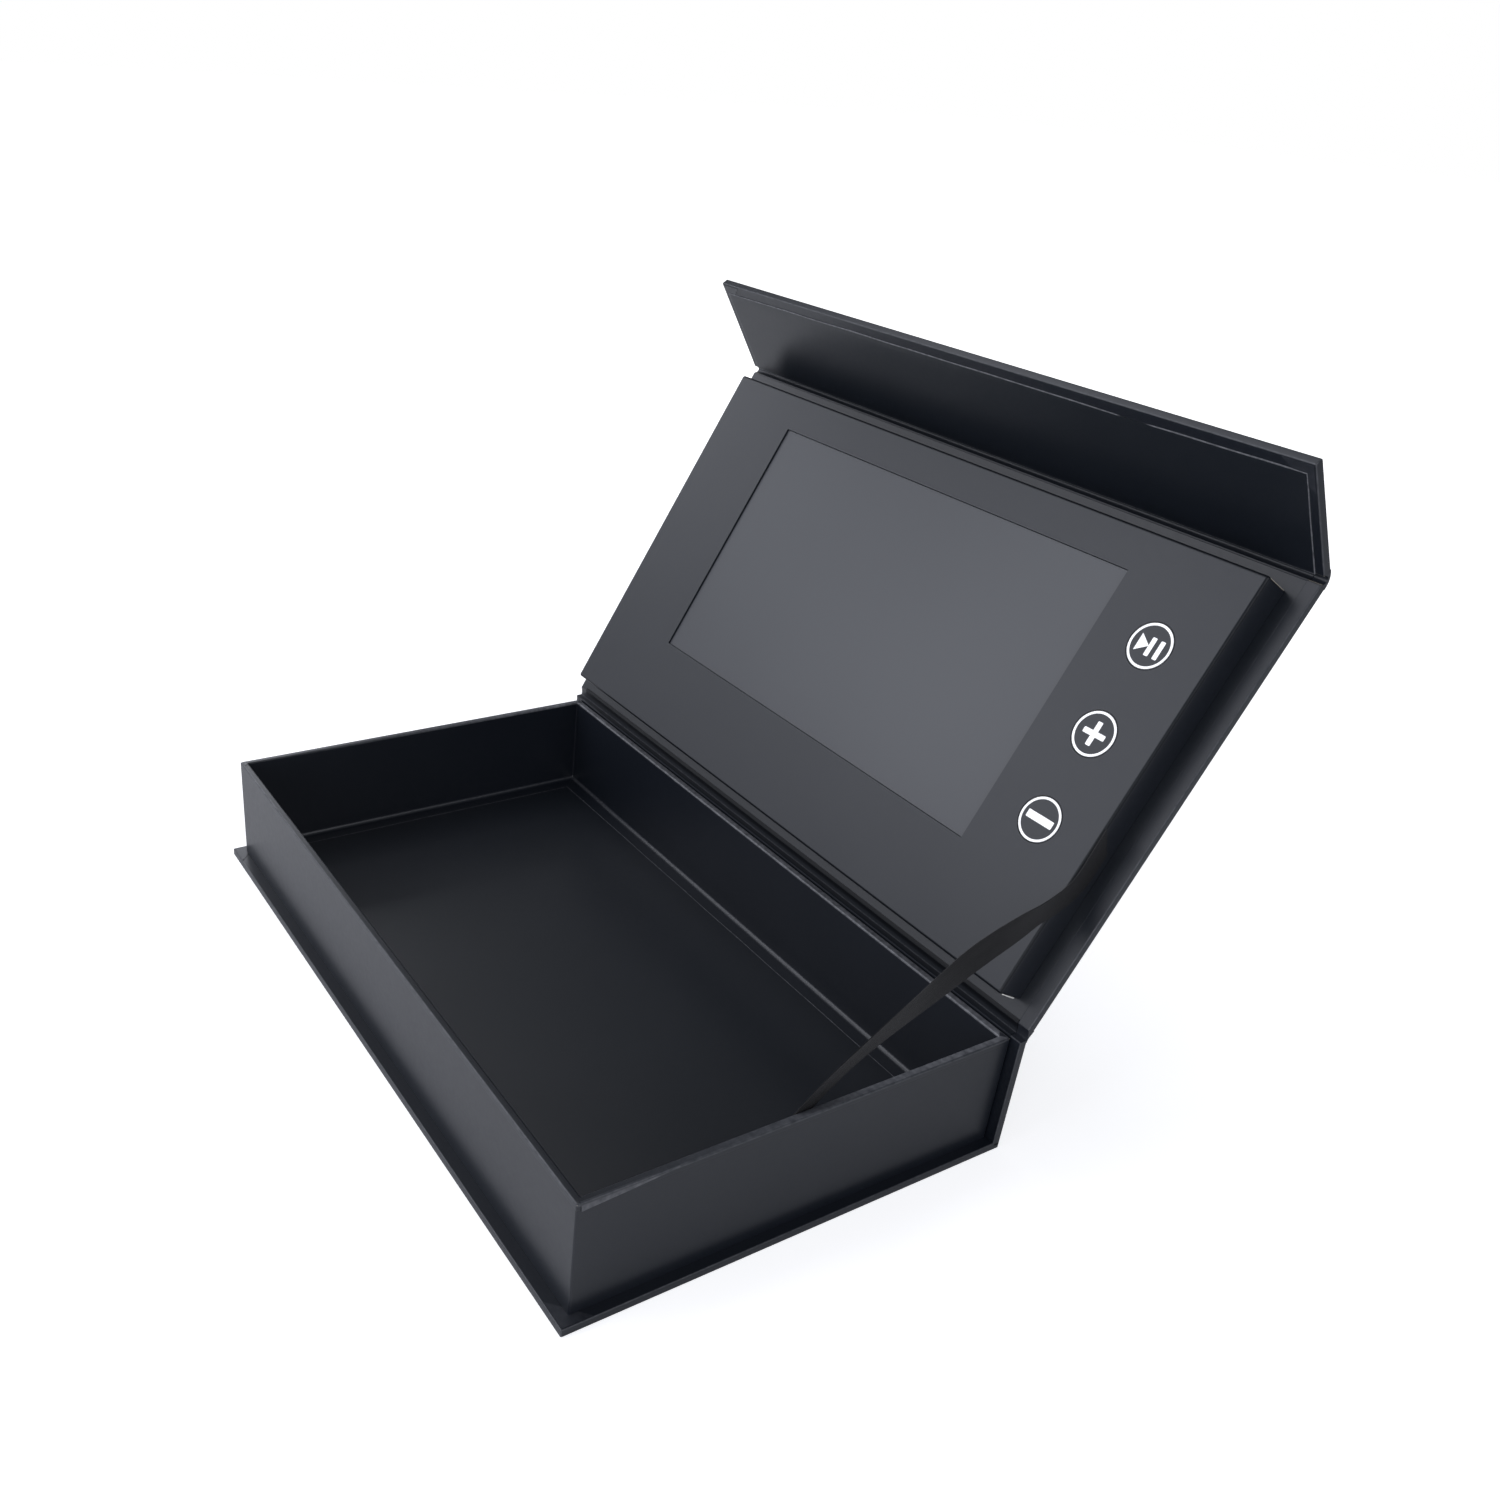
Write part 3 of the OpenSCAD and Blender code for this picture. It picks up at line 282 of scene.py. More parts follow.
def worked(base, *tools):
    """Plain mesh that an object's modifiers make. The object and the tools it needs are then removed."""
    shape = bpy.data.meshes.new_from_object(base.evaluated_get(bpy.context.evaluated_depsgraph_get()))
    for o in (base, *tools):
        bpy.data.objects.remove(o)
    return shape


def evenly_lit(mesh):
    """The mesh with normals that keep large flat faces flat beside rounded edges."""
    base = held(mesh)
    base.modifiers.new("step", "WEIGHTED_NORMAL").keep_sharp = True
    return worked(base)


def cut(mesh, cutters):
    """The mesh with closed cutters taken out of it."""
    base, tools = held(mesh), [held(c) for c in cutters]
    for tool in tools:
        step = base.modifiers.new("cut", "BOOLEAN")
        step.operation, step.object, step.solver = "DIFFERENCE", tool, "EXACT"
    return worked(base, *tools)


def grown(mesh, tree, values):
    """Plain mesh that a node tree makes of a mesh, with the tree's named inputs set."""
    base = held(mesh)
    step = base.modifiers.new("nodes", "NODES")
    step.node_group = tree
    for socket in tree.interface.items_tree:
        if socket.name in values:
            step[socket.identifier] = values[socket.name]
    return worked(base)


def finished(name, mesh, place, body, finish, slot, *nodes):
    """Puts a mesh built in mm in its place, gives it its finish and lets it ride on its body."""
    mesh.transform(Matrix.Scale(MM, 4) @ place)
    mesh.materials.append(finish)
    mesh.shade_smooth()
    mesh.set_sharp_from_angle(angle=math.radians(32))
    piece = bpy.data.objects.new(name, evenly_lit(mesh))
    bpy.context.scene.collection.objects.link(piece)
    if nodes:
        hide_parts(*nodes)
    if body:
        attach(piece, body)
    return piece


def marked(mesh, edge_value):
    """Sets the attribute edge of each point from its number and place."""
    mark = mesh.attributes.get("edge") or mesh.attributes.new("edge", "FLOAT", "POINT")
    for i, v in enumerate(mesh.vertices):
        mark.data[i].value = edge_value(i, v.co)
    return mesh


def outward(mesh):
    """Turns a closed mesh's faces outwards."""
    bm = bmesh.new()
    bm.from_mesh(mesh)
    bmesh.ops.recalc_face_normals(bm, faces=bm.faces)
    bm.to_mesh(mesh)
    bm.free()
    return mesh


def built(verts, faces):
    """Mesh from points and faces."""
    mesh = bpy.data.meshes.new("built")
    mesh.from_pydata(verts, [], faces)
    mesh.update()
    return mesh


def quarter(steps):
    """Cosine and sine at even steps through a right angle."""
    return [(math.cos(a), math.sin(a)) for a in (math.radians(90 * k / steps) for k in range(steps + 1))]


def circle(radius, count=72, x=0.0, y=0.0):
    """Points of a circle."""
    return [(x + radius * math.cos(2 * math.pi * k / count), y + radius * math.sin(2 * math.pi * k / count))
            for k in range(count)]


def rounded_box(low, high, radius, steps=3):
    """Box with all its edges rounded. The attribute edge is 1 along the middle of its rounded edges."""
    low, high = Vector(low), Vector(high)
    bm = bmesh.new()
    bmesh.ops.create_cube(bm, size=1.0)
    size = high - low
    for v in bm.verts:
        v.co = low + Vector([(v.co[i] + 0.5) * size[i] for i in range(3)])
    bmesh.ops.bevel(bm, geom=bm.edges[:], offset=radius, segments=steps, profile=0.5, affect="EDGES")
    mesh = bpy.data.meshes.new("board")
    bm.to_mesh(mesh)
    bm.free()

    def edge_value(i, co):
        """Worn where two of the box's faces are near."""
        return float(sum(min(co[k] - low[k], high[k] - co[k]) < radius * 0.7 for k in range(3)) > 1)

    return marked(mesh, edge_value)


def ring(half_x, half_y, radius, z, centre=(0.0, 0.0), steps=5):
    """Points of a rounded rectangle at a height."""
    points = []
    for corner, (sx, sy) in enumerate(((1, 1), (-1, 1), (-1, -1), (1, -1))):
        for k in range(steps + 1):
            a = math.radians(90 * corner + 90 * k / steps)
            points.append((centre[0] + sx * (half_x - radius) + radius * math.cos(a),
                           centre[1] + sy * (half_y - radius) + radius * math.sin(a), z))
    return points


def skin(rings, capped=False, edge_mark=()):
    """Mesh through closed rings of the same count of points. The rings given by number are marked for rubbing."""
    count = len(rings[0])
    faces = [(a * count + k, a * count + (k + 1) % count, (a + 1) * count + (k + 1) % count, (a + 1) * count + k)
             for a in range(len(rings) - 1) for k in range(count)]
    if capped:
        last = (len(rings) - 1) * count
        faces += [list(range(count))[::-1], list(range(last, last + count))]
    return marked(built([p for r in rings for p in r], faces), lambda i, co: float(i // count in edge_mark))


def closed_sheet(columns, rows, place):
    """Closed mesh of a sheet: place(layer, i, j) is a point of its lower or upper face."""
    row, size = rows + 1, (columns + 1) * (rows + 1)
    verts = [place(layer, i, j) for layer in (0, 1) for i in range(columns + 1) for j in range(rows + 1)]
    quads = [(a, a + 1, a + row + 1, a + row) for a in (i * row + j for i in range(columns) for j in range(rows))]
    faces = quads + [tuple(size + k for k in quad[::-1]) for quad in quads]
    faces += [(a, a + row, size + a + row, size + a) for a in (i * row + j for i in range(columns) for j in (0, rows))]
    faces += [(a + 1, a, size + a, size + a + 1) for a in (i * row + j for i in (0, columns) for j in range(rows))]
    return outward(built(verts, faces))


def joined(meshes):
    """One mesh out of several."""
    bm = bmesh.new()
    for m in meshes:
        bm.from_mesh(m)
    out = bpy.data.meshes.new("joined")
    bm.to_mesh(out)
    bm.free()
    return out


def prism(outline, low, high):
    """Flat shape drawn out in z. The outline runs counter-clockwise."""
    n = len(outline)
    verts = [(x, y, z) for z in (low, high) for x, y in outline]
    faces = [list(range(n))[::-1], list(range(n, 2 * n))]
    faces += [(i, (i + 1) % n, n + (i + 1) % n, n + i) for i in range(n)]
    return marked(built(verts, faces), lambda i, co: 0.4)


# Cover

base_core = rounded_box((-COVER_W / 2, BASE_FRONT, 0), (COVER_W / 2, SPINE_OUT, BOARD), BOARD_R)
finished("base_cover", base_core, ROW, "base", wrap_paper, "wrapping_paper", "base_wrap")
spine = rounded_box((-COVER_W / 2, SPINE_IN, 1.2), (COVER_W / 2, SPINE_OUT, SPINE_TOP), BOARD_R)
finished("spine_cover", spine, ROW, "base", wrap_paper, "wrapping_paper", "spine_wrap")


def corner_folds(width, low, high, face, leg=9.0, thick=0.12):
    """Paper folded over a board's corners: thin triangles on its inner face. An end given as None has none."""
    folds = []
    for sx in (-1, 1):
        for y, sy in ((low, 1), (high, -1)):
            if y is None:
                continue
            x = sx * (width / 2 - 0.5)
            shape = [(x, y + sy * 0.5), (x - sx * leg, y + sy * 0.5), (x, y + sy * leg)]
            if (sx > 0) == (sy > 0):
                shape.reverse()
            folds.append(prism(shape, face - 0.02, face + thick))
    return folds


folds = joined(corner_folds(COVER_W, BASE_FRONT, None, BOARD))
finished("base_corner_folds", folds, ROW, "base", wrap_paper, "wrapping_paper")

lid_cover = rounded_box((-COVER_W / 2, LID_FOLD, -BOARD), (COVER_W / 2, LID_EDGE, 0), BOARD_R)
finished("lid_cover", lid_cover, LID, "lid", wrap_paper, "wrapping_paper", "lid_wrap")
flap_cover = rounded_box((-COVER_W / 2, FLAP_FOLD, -BOARD / 2), (COVER_W / 2, FLAP_L, BOARD / 2), BOARD_R)
finished("flap_cover", flap_cover, FLAP, "flap", wrap_paper, "wrapping_paper", "flap_wrap")
folds = joined(corner_folds(COVER_W, None, FLAP_L, BOARD / 2))
finished("flap_corner_folds", folds, FLAP, "flap", wrap_paper, "wrapping_paper")


# Tray

def tray_paper():
    """The tray's paper from its foot outside, over the rim, down inside and onto the floor, by inset and height."""
    outside = [(0, z) for z in (BOARD + 0.02, BOARD + 0.4, 12.0, 22.0, RIM_Z - 2.2)]
    # Raw edge of the inner paper, turned over the rim and ending on the outside
    outside += [(0.03, RIM_Z - 1.95), (0.03, RIM_Z - 1.85), (0, RIM_Z - 1.7), (0, RIM_Z - 0.75)]
    outside += [(RIM_R * (1 - c), RIM_Z - RIM_R + RIM_R * s) for c, s in quarter(4)]
    inside = [(WALL - RIM_R * (1 - s), RIM_Z - RIM_R + RIM_R * c) for c, s in quarter(4)]
    inside += [(WALL, z) for z in (RIM_Z - 0.75, 26.0, 14.0, FLOOR_Z + INNER_FOOT_R)]
    inside += [(WALL + INNER_FOOT_R * (1 - c), FLOOR_Z + INNER_FOOT_R - INNER_FOOT_R * s) for c, s in quarter(5)[1:]]
    inside += [(WALL + 8, FLOOR_Z), (WALL + 8.2, FLOOR_Z - 0.2)]
    return skin([ring(TRAY_W / 2 - inset, TRAY_D / 2 - inset, corner, z)
                 for rows, corner in ((outside, 0.6), (inside, 0.4)) for inset, z in rows])


def tray_rubbing_and_painted_light(i, co):
    """Painted light on the rim's paper where it faces the front: painted highlights with some rubbing on the outer edge
    at the front and right wall, a painted highlight on the inner edge at the back wall, painted shade on the rest of
    the rim, and a painted highlight along the back wall's inner foot.
    """
    front, back = co.y < -TRAY_D / 2 + WALL, co.y > TRAY_D / 2 - WALL - 1
    if co.z > RIM_Z - 0.6:
        outer = max(abs(co.x) - TRAY_W / 2, abs(co.y) - TRAY_D / 2) > -0.45
        return 1.0 if outer and (front or co.x > 0) else 3.0 if back and not outer else -0.25
    return 0.8 if back and FLOOR_Z + 0.1 < co.z < FLOOR_Z + 1.0 else 0.0


finished("tray_paper", marked(tray_paper(), tray_rubbing_and_painted_light), ROW, "base", wrap_paper, "wrapping_paper", "tray_wrap")


def rim_folds():
    """Small wedge folds where the paper turns over the rim at each corner but the one below."""
    folds = []
    for sx in (-1, 1):
        for sy in (-1, 1):
            if (sx, sy) == (1, -1):
                continue
            x, y = sx * (TRAY_W / 2 - 0.7), sy * (TRAY_D / 2 - 0.7)
            shape = [(x, y), (x - sx * 2.9, y), (x - sx * 1.5, y - sy * 1.4)]
            if sx * sy > 0:
                shape.reverse()
            folds.append(prism(shape, RIM_Z - 0.05, RIM_Z + 0.1))
    return joined(folds)


def rim_overlap(length=27.0, steps=14):
    """Front wall's paper lapped round its corner onto the right rim: a doubled edge that tapers away."""
    x = TRAY_W / 2
    rings = []
    for k in range(steps + 1):
        t = k / steps
        y = -TRAY_D / 2 + 1.3 + length * t
        drop = 1.9 * (1 - t) ** 0.8 + 0.25
        thick = 0.3 * (1 - t) + 0.04
        rings.append([(x - 0.1, y, RIM_Z - drop), (x + thick - 0.08, y, RIM_Z - drop - 0.1), (x + thick, y, RIM_Z - drop),
                      (x - 0.12, y, RIM_Z - 0.12), (x - 0.5, y, RIM_Z + 0.06), (x - 0.75, y, RIM_Z + 0.01)])
    # Painted shade under the lap, painted highlight on its outer face
    edge_value = (-0.9, -0.5, 2.2, 1.8, 0.5, 0.0)
    return marked(outward(skin(rings, capped=True)), lambda i, co: edge_value[i % 6])


finished("rim_corner_folds", rim_folds(), ROW, "base", wrap_paper, "wrapping_paper")
finished("rim_overlap", rim_overlap(), ROW, "base", wrap_paper, "wrapping_paper")


def spread(k, count, low, high, rim=0.3):
    """Place of a line of a grid whose first and last cell are a narrow rim."""
    return (low, high)[k > 0] if k in (0, count) else low + rim + (high - low - 2 * rim) * (k - 1) / (count - 2)


def wavy_sheet(low, high, thick, wave, seed, columns=80, rows=40):
    """Loose-laid paper with faint bulges and a slightly wavy cut edge painted light: partly its raw core, partly a
    painted highlight.
    """

    def place(layer, i, j):
        x, y = spread(i, columns, low[0], high[0]), spread(j, rows, low[1], high[1])
        near = min(min(i, columns - i) / columns, min(j, rows - j) / rows)
        edge = max(0.0, 1 - near * 12)
        x += wave * edge * noise.noise((x * 0.05, y * 0.05, seed))
        y += wave * edge * noise.noise((x * 0.05, y * 0.05, seed + 7))
        bulge = 0.12 * (1 + noise.noise((x * 0.03, y * 0.03, seed + 3))) * min(1.0, near * 10)
        return x, y, low[2] + (thick + bulge) * layer

    def edge_value(i, co):
        rim = min(co.x - low[0], high[0] - co.x, co.y - low[1], high[1] - co.y)
        return 5.0 if rim < 0.1 + wave * 0.15 else 0.0

    return marked(closed_sheet(columns, rows, place), edge_value)


floor_x, floor_y = TRAY_W / 2 - WALL - FLOOR_MARGIN, TRAY_D / 2 - WALL - FLOOR_MARGIN
floor_sheet = wavy_sheet((-floor_x, -floor_y, FLOOR_Z), (floor_x, floor_y), 0.3, 0.12, 2.0)
finished("floor_paper", floor_sheet, ROW, "base", lining_paper, "lining_paper", "floor_lining")
lid_x = COVER_W / 2 - LID_MARGIN
lid_sheet = rounded_box((-lid_x, LID_FOLD, 0), (lid_x, LID_EDGE, 0.07), 0.03, 1)
finished("lid_paper", lid_sheet, LID, "lid", lining_paper, "lining_paper", "lid_lining")
flap_x = COVER_W / 2 - FLAP_SIDE
flap_sheet = wavy_sheet((-flap_x, FLAP_FOLD, BOARD / 2), (flap_x, FLAP_L - FLAP_END), 0.22, 0.3, 5.0, 120, 24)
finished("flap_paper", flap_sheet, FLAP, "flap", lining_paper, "lining_paper", "flap_lining")


# Folds

def curve_through(p0, d0, p1, d1, count):
    """Points on a smooth curve that leaves p0 along d0 and reaches p1 along d1, in a plane."""
    p0, d0, p1, d1 = (Vector(v) for v in (p0, d0, p1, d1))
    reach = (p1 - p0).length * 0.4
    a, b = p0 + d0 * reach, p1 - d1 * reach
    return [p0 * (1 - t) ** 3 + 3 * a * t * (1 - t) ** 2 + 3 * b * t * t * (1 - t) + p1 * t ** 3
            for t in (i / count for i in range(count + 1))]


def fold_strip(line, seed, columns=90):
    """Lining paper along a line in the Y-Z plane over a fold, with small wrinkles across it."""
    width, count = COVER_W - 2 * LID_MARGIN, len(line) - 1

    def place(layer, c, i):
        x, t = width * (c / columns - 0.5), i / count
        run = (line[min(i + 1, count)] - line[max(i - 1, 0)]).normalized()
        ripple = 0.05 * noise.noise((x * 0.35, t * 3, seed)) * math.sin(math.pi * t)
        q = line[i] + Vector((-run.y, run.x)) * (PAPER * layer + ripple)
        return x, q.x, q.y

    return marked(closed_sheet(columns, count, place),
                  lambda i, co: 0.35 * math.exp(-((i % (count + 1) / count - 0.5) / 0.2) ** 2))


def in_lid(s, h):
    """Point in the Y-Z plane of the row frame, in mm, from the lid's frame."""
    p = LID @ Vector((0, s, h))
    return Vector((p.y, p.z))


def in_flap(v, m):
    """Point in the Y-Z plane of the row frame, in mm, from the flap's frame."""
    p = FLAP @ Vector((0, v, m))
    return Vector((p.y, p.z))


up_lid = in_lid(1, 0) - in_lid(0, 0)
up_flap = in_flap(1, 0) - in_flap(0, 0)


def bent(piece, start, end):
    """Bakes a fold's placement into its mesh; it does not bend between two bodies. Its points start and end are not
    used.
    """
    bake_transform(piece)


def pressed(outer, inner, depth):
    """Inner line of a fold pressed towards its outer line, most in the middle."""
    last = len(inner) - 1
    return [p.lerp(q, depth * math.sin(math.pi * i / last)) for i, (p, q) in enumerate(zip(inner, outer))]


def fold_web(outer, inner, seed, columns=90):
    """Both papers of a fold glued together: a closed strip between two lines in the Y-Z plane."""
    count = len(outer) - 1
    rings = []
    for c in range(columns + 1):
        x = COVER_W * (c / columns - 0.5)
        rings.append([])
        for q, k in [*zip(outer, range(count + 1)), *zip(inner[::-1], range(count, -1, -1))]:
            t = k / count
            ripple = 0.05 * noise.noise((x * 0.12, t * 2, seed)) * math.sin(math.pi * t)
            rings[-1].append((x, q.x + ripple, q.y))
    return marked(outward(skin(rings, capped=True)), lambda i, co: 0.1)


def resampled(points, count):
    """Points at even steps along a line."""
    far = [0.0]
    for a, b in zip(points, points[1:]):
        far.append(far[-1] + (b - a).length)
    line = []
    for k in range(count + 1):
        at = far[-1] * k / count
        i = max(j for j in range(len(far) - 1) if far[j] <= at + 1e-9)
        line.append(points[i].lerp(points[i + 1], (at - far[i]) / (far[i + 1] - far[i])))
    return line


# Lid's fold. Its inner paper goes up behind the tray, flat over the spine's top, then straight up the gap to the lid.
outer_line = curve_through((SPINE_OUT - 0.02, SPINE_TOP - 0.6), (0, 1), in_lid(LID_FOLD + 0.6, -BOARD + 0.02), up_lid, 16)
gutter = [Vector((SPINE_IN + y, SPINE_TOP + z)) for y, z in ((0, -0.3), (0.1, 0), (0.5, 0.1), (1.6, 0.13))]
gutter += [Vector((SPINE_OUT - y, SPINE_TOP + z)) for y, z in ((0.35, 0.18), (0.17, 0.45), (0.14, 1.3), (0.28, 2.4))]
gutter.append(in_lid(LID_FOLD + 0.12, 0.02))
web = fold_web(outer_line, resampled(gutter, 16), 1.0)
piece = finished("lid_fold_outside", web, ROW, None, wrap_paper, "wrapping_paper", "lid_hinge_wrap")
bent(piece, outer_line[1], outer_line[-2])


def gutter_painted_light(i, co):
    """Painted shade up in the gap, a painted highlight where the paper turns up at the spine's outer edge."""
    here = Vector((co.y, co.z))
    if (here - in_lid(LID_FOLD, 0)).dot(up_lid) > -1.0:
        return -0.6
    return 1.2 if (here - gutter[4]).length < 0.25 else 0.0


strip = fold_strip([Vector((SPINE_IN - 0.05, SPINE_TOP - z)) for z in (8, 5, 2.5)] + gutter
                   + [in_lid(LID_FOLD + k, 0.04) for k in (0.6, 1.2)], 4.0)
strip = marked(strip, gutter_painted_light)
piece = finished("lid_fold_inside", strip, ROW, None, lining_paper, "lining_paper", "lid_hinge_lining")
bent(piece, gutter[5], gutter[-1])


def flap_line(inset, h, m):
    """Curve over the flap's fold that starts and ends on the boards, an inset in and a height off them."""
    return curve_through(in_lid(LID_EDGE - inset, h), up_lid, in_flap(FLAP_FOLD + inset, BOARD / 2 + m), up_flap, 14)


# Flap's fold, with the share of the gap between its two faces that its inner paper is pressed in by
FLAP_PRESS = 0.7
outer_line = flap_line(0.6, -BOARD + 0.02, -BOARD + 0.02)
inner_line = flap_line(0.4, -0.02, -0.02)
inner_turn = flap_line(0.5, 0.05, 0.05)
web = fold_web(outer_line, pressed(outer_line, inner_line, FLAP_PRESS), 6.0)
piece = finished("flap_fold_outside", web, ROW, None, wrap_paper, "wrapping_paper", "flap_hinge_wrap")
bent(piece, outer_line[1], outer_line[-2])
strip = fold_strip(pressed(outer_line, inner_turn, FLAP_PRESS), 8.0)
piece = finished("flap_fold_inside", strip, ROW, None, lining_paper, "lining_paper", "flap_hinge_lining")
bent(piece, inner_turn[0], inner_turn[-1])


# Video panel

def disc(x, y, radius, low, high, count=72):
    """Round plate."""
    return prism(circle(radius, count, x, y), low, high)


def panel_box(inset, low, high, radius, steps=4):
    """Box as wide and long as the panel less an inset all round."""
    return rounded_box((-PANEL_W / 2 + inset, FOOT_S + inset, low),
                       (PANEL_W / 2 - inset, PANEL_S + PANEL_L - inset, high), radius, steps)


def window_box(gap, low, high, radius=0.3):
    """Box as wide and long as the picture window and a gap all round."""
    return rounded_box((-VIEW_W / 2 - gap, VIEW_S - gap, low), (VIEW_W / 2 + gap, VIEW_S + VIEW_L + gap, high), radius, 2)


def button_holes():
    """Cutters for the three buttons, with 0.15 mm of play."""
    return [disc(BUTTON_X, BUTTON_S + step * BUTTON_PITCH, BUTTON_D / 2 + 0.15, -1, 12) for step in (-1, 0, 1)]


# The paper's face edges are soft; below them it is hollow, and it turns back through the window
inside = cut(panel_box(PAPER, -3, PANEL_H - PAPER, FACE_R - PAPER), [window_box(PAPER, 8.75, 12, 0.5)])
socket = rounded_box((-PANEL_W / 2 - 2, 36.6, 2.0), (-PANEL_W / 2 + 3, 45.4, 5.9), 0.5, 3)
foot = rounded_box((-COVER_W / 2, 0, -4), (COVER_W / 2, 140, PAPER), 0.1, 1)
panel = cut(panel_box(0, -2, PANEL_H, FACE_R), [inside, window_box(0, -1, 12), *button_holes(), socket, foot])


def panel_painted_shade(i, co):
    """Painted shade on the rounding of the face's edges, half as dark at its sides."""
    side = PANEL_W / 2 - abs(co.x)
    gap = min(side, co.y - FOOT_S, PANEL_S + PANEL_L - co.y)
    if not (0.03 < gap < FACE_R * 0.75 and co.z > PANEL_H - FACE_R):
        return 0.0
    return -0.5 if side < FACE_R else -1.0


finished("panel_paper", marked(panel, panel_painted_shade), LID, "lid", panel_paper, "lining_paper", "panel_wrap")
# Card under the paper's face
under = rounded_box((-COVER_W / 2, 0, 2), (COVER_W / 2, 140, 8.8), 0.1, 1)
card = cut(panel_box(PAPER + 0.01, 5, PANEL_H - PAPER - 0.01, FACE_R - PAPER - 0.01),
           [under, window_box(PAPER + 0.02, -1, 12), *button_holes()])
finished("face_card_rounded", card, LID, "lid", greyboard, "greyboard", "face_card")


def corner_glint():
    """Painted glint: a white sliver down the panel's lower right corner, by height and width."""
    x, y = PANEL_W / 2, FOOT_S
    rings = [[(x - 0.4, y + 0.1, h), (x - 0.1, y - wide * 0.3, h), (x + wide * 0.3, y + 0.1, h), (x - 0.1, y + 0.3, h)]
             for h, wide in ((2.4, 0.05), (2.9, 0.28), (3.8, 0.26), (5.2, 0.18), (7.0, 0.1), (8.3, 0.02))]
    return outward(skin(rings, capped=True))


finished("panel_corner_glint", corner_glint(), LID, "lid", glint_white, "lining_paper")


# Buttons and their printed symbols

def soft_bar(x0, y0, x1, y1, radius):
    """Outline of a rectangle with small round corners."""
    return [(x, y) for x, y, z in ring((x1 - x0) / 2, (y1 - y0) / 2, radius, 0, ((x0 + x1) / 2, (y0 + y1) / 2))]


def circle_line(outer, inner, low, high):
    """Printed ring."""
    return skin([[(x, y, z) for x, y in circle(radius, 96)]
                 for radius, z in ((inner, low), (outer, low), (outer, high), (inner, high), (inner, low))])


# Symbols measured on the photograph, in mm from each button's middle, printed 0.03 mm high
PRINT_LOW, PRINT_HIGH = PANEL_H - 0.02, PANEL_H + 0.03
RING_OUT, RING_IN = 6.45, 5.75
SYMBOLS = {
    "play": [[(-3.9, -2.6), (-0.3, -0.1), (-3.9, 2.4)],
             soft_bar(-0.45, -2.85, 0.95, 2.5, 0.3), soft_bar(2.4, -2.9, 3.8, 2.4, 0.3)],
    "plus": [soft_bar(-3.65, -0.8, 3.65, 0.8, 0.3), soft_bar(-0.8, -3.5, 0.8, 3.6, 0.3)],
    "minus": [soft_bar(-4.55, -1.05, 4.55, 1.2, 0.25)],
}
for step, (name, outlines) in zip((1, 0, -1), SYMBOLS.items()):
    spot = LID @ Matrix.Translation((BUTTON_X, BUTTON_S + step * BUTTON_PITCH, 0))
    radius = BUTTON_D / 2
    profile = [(radius, 8.7), (radius, 9.86), (radius - 0.04, 9.96), (radius - 0.14, PANEL_H), (0.6, PANEL_H)]
    cap = skin([[(x, y, z) for x, y in circle(r)] for r, z in profile], capped=True, edge_mark=(2,))
    stem = joined([cap, disc(0, 0, 8.0, 8.0, 8.7), disc(0, 0, 1.5, 5.4, 8.0, 32)])
    finished(name + "_cap", stem, spot, name + "_button", cap_film, "button_cap", name + "_button")
    print_mesh = joined([circle_line(RING_OUT, RING_IN, PRINT_LOW, PRINT_HIGH)]
                        + [prism(outline, PRINT_LOW, PRINT_HIGH + 0.004 * k) for k, outline in enumerate(outlines)])
    finished(name + "_symbol", print_mesh, spot, name + "_button", ink, "white_plastic")


# Ribbon

# Its route as (y, z, x, twist in degrees) in mm: glued to the panel's right side, then off it, over the span
# to the rim and down the tray's right wall. The first points are given up the lid and out of it.
ON_PANEL = [(57, 6.9, 114.9, 0), (51.5, 6.7, 114.9, 0), (46, 6.7, 114.9, 0), (42, 7.6, 114.9, 0),
            (38.3, 9.6, 114.9, 0), (35, 12.3, 114.95, 1)]
SPAN = [(72, 75.5, 115.1, 2), (68.3, 74.5, 115.2, -4), (64.3, 73.2, 115.25, -11), (58.7, 71.4, 115.3, -17),
        (53.4, 69.6, 115.4, -19), (48, 67.3, 115.4, -18), (42.4, 64.4, 115.5, -12), (36.3, 61.1, 115.5, -4),
        (29.8, 57.5, 115.5, 4), (22.9, 53.7, 115.5, 10), (16.4, 49.9, 115.5, 14), (10.8, 46.3, 115.5, 15),
        (5.1, 42, 115.55, 15), (-0.5, 37.2, 115.65, 14), (-6, 31.4, 115.75, 12), (-11, 25, 115.9, 9),
        (-15, 17.8, 116.1, 4), (-18, 10, 116.3, 0)]
ROUTE = [(*in_lid(s, h), x, twist) for s, h, x, twist in ON_PANEL] + SPAN


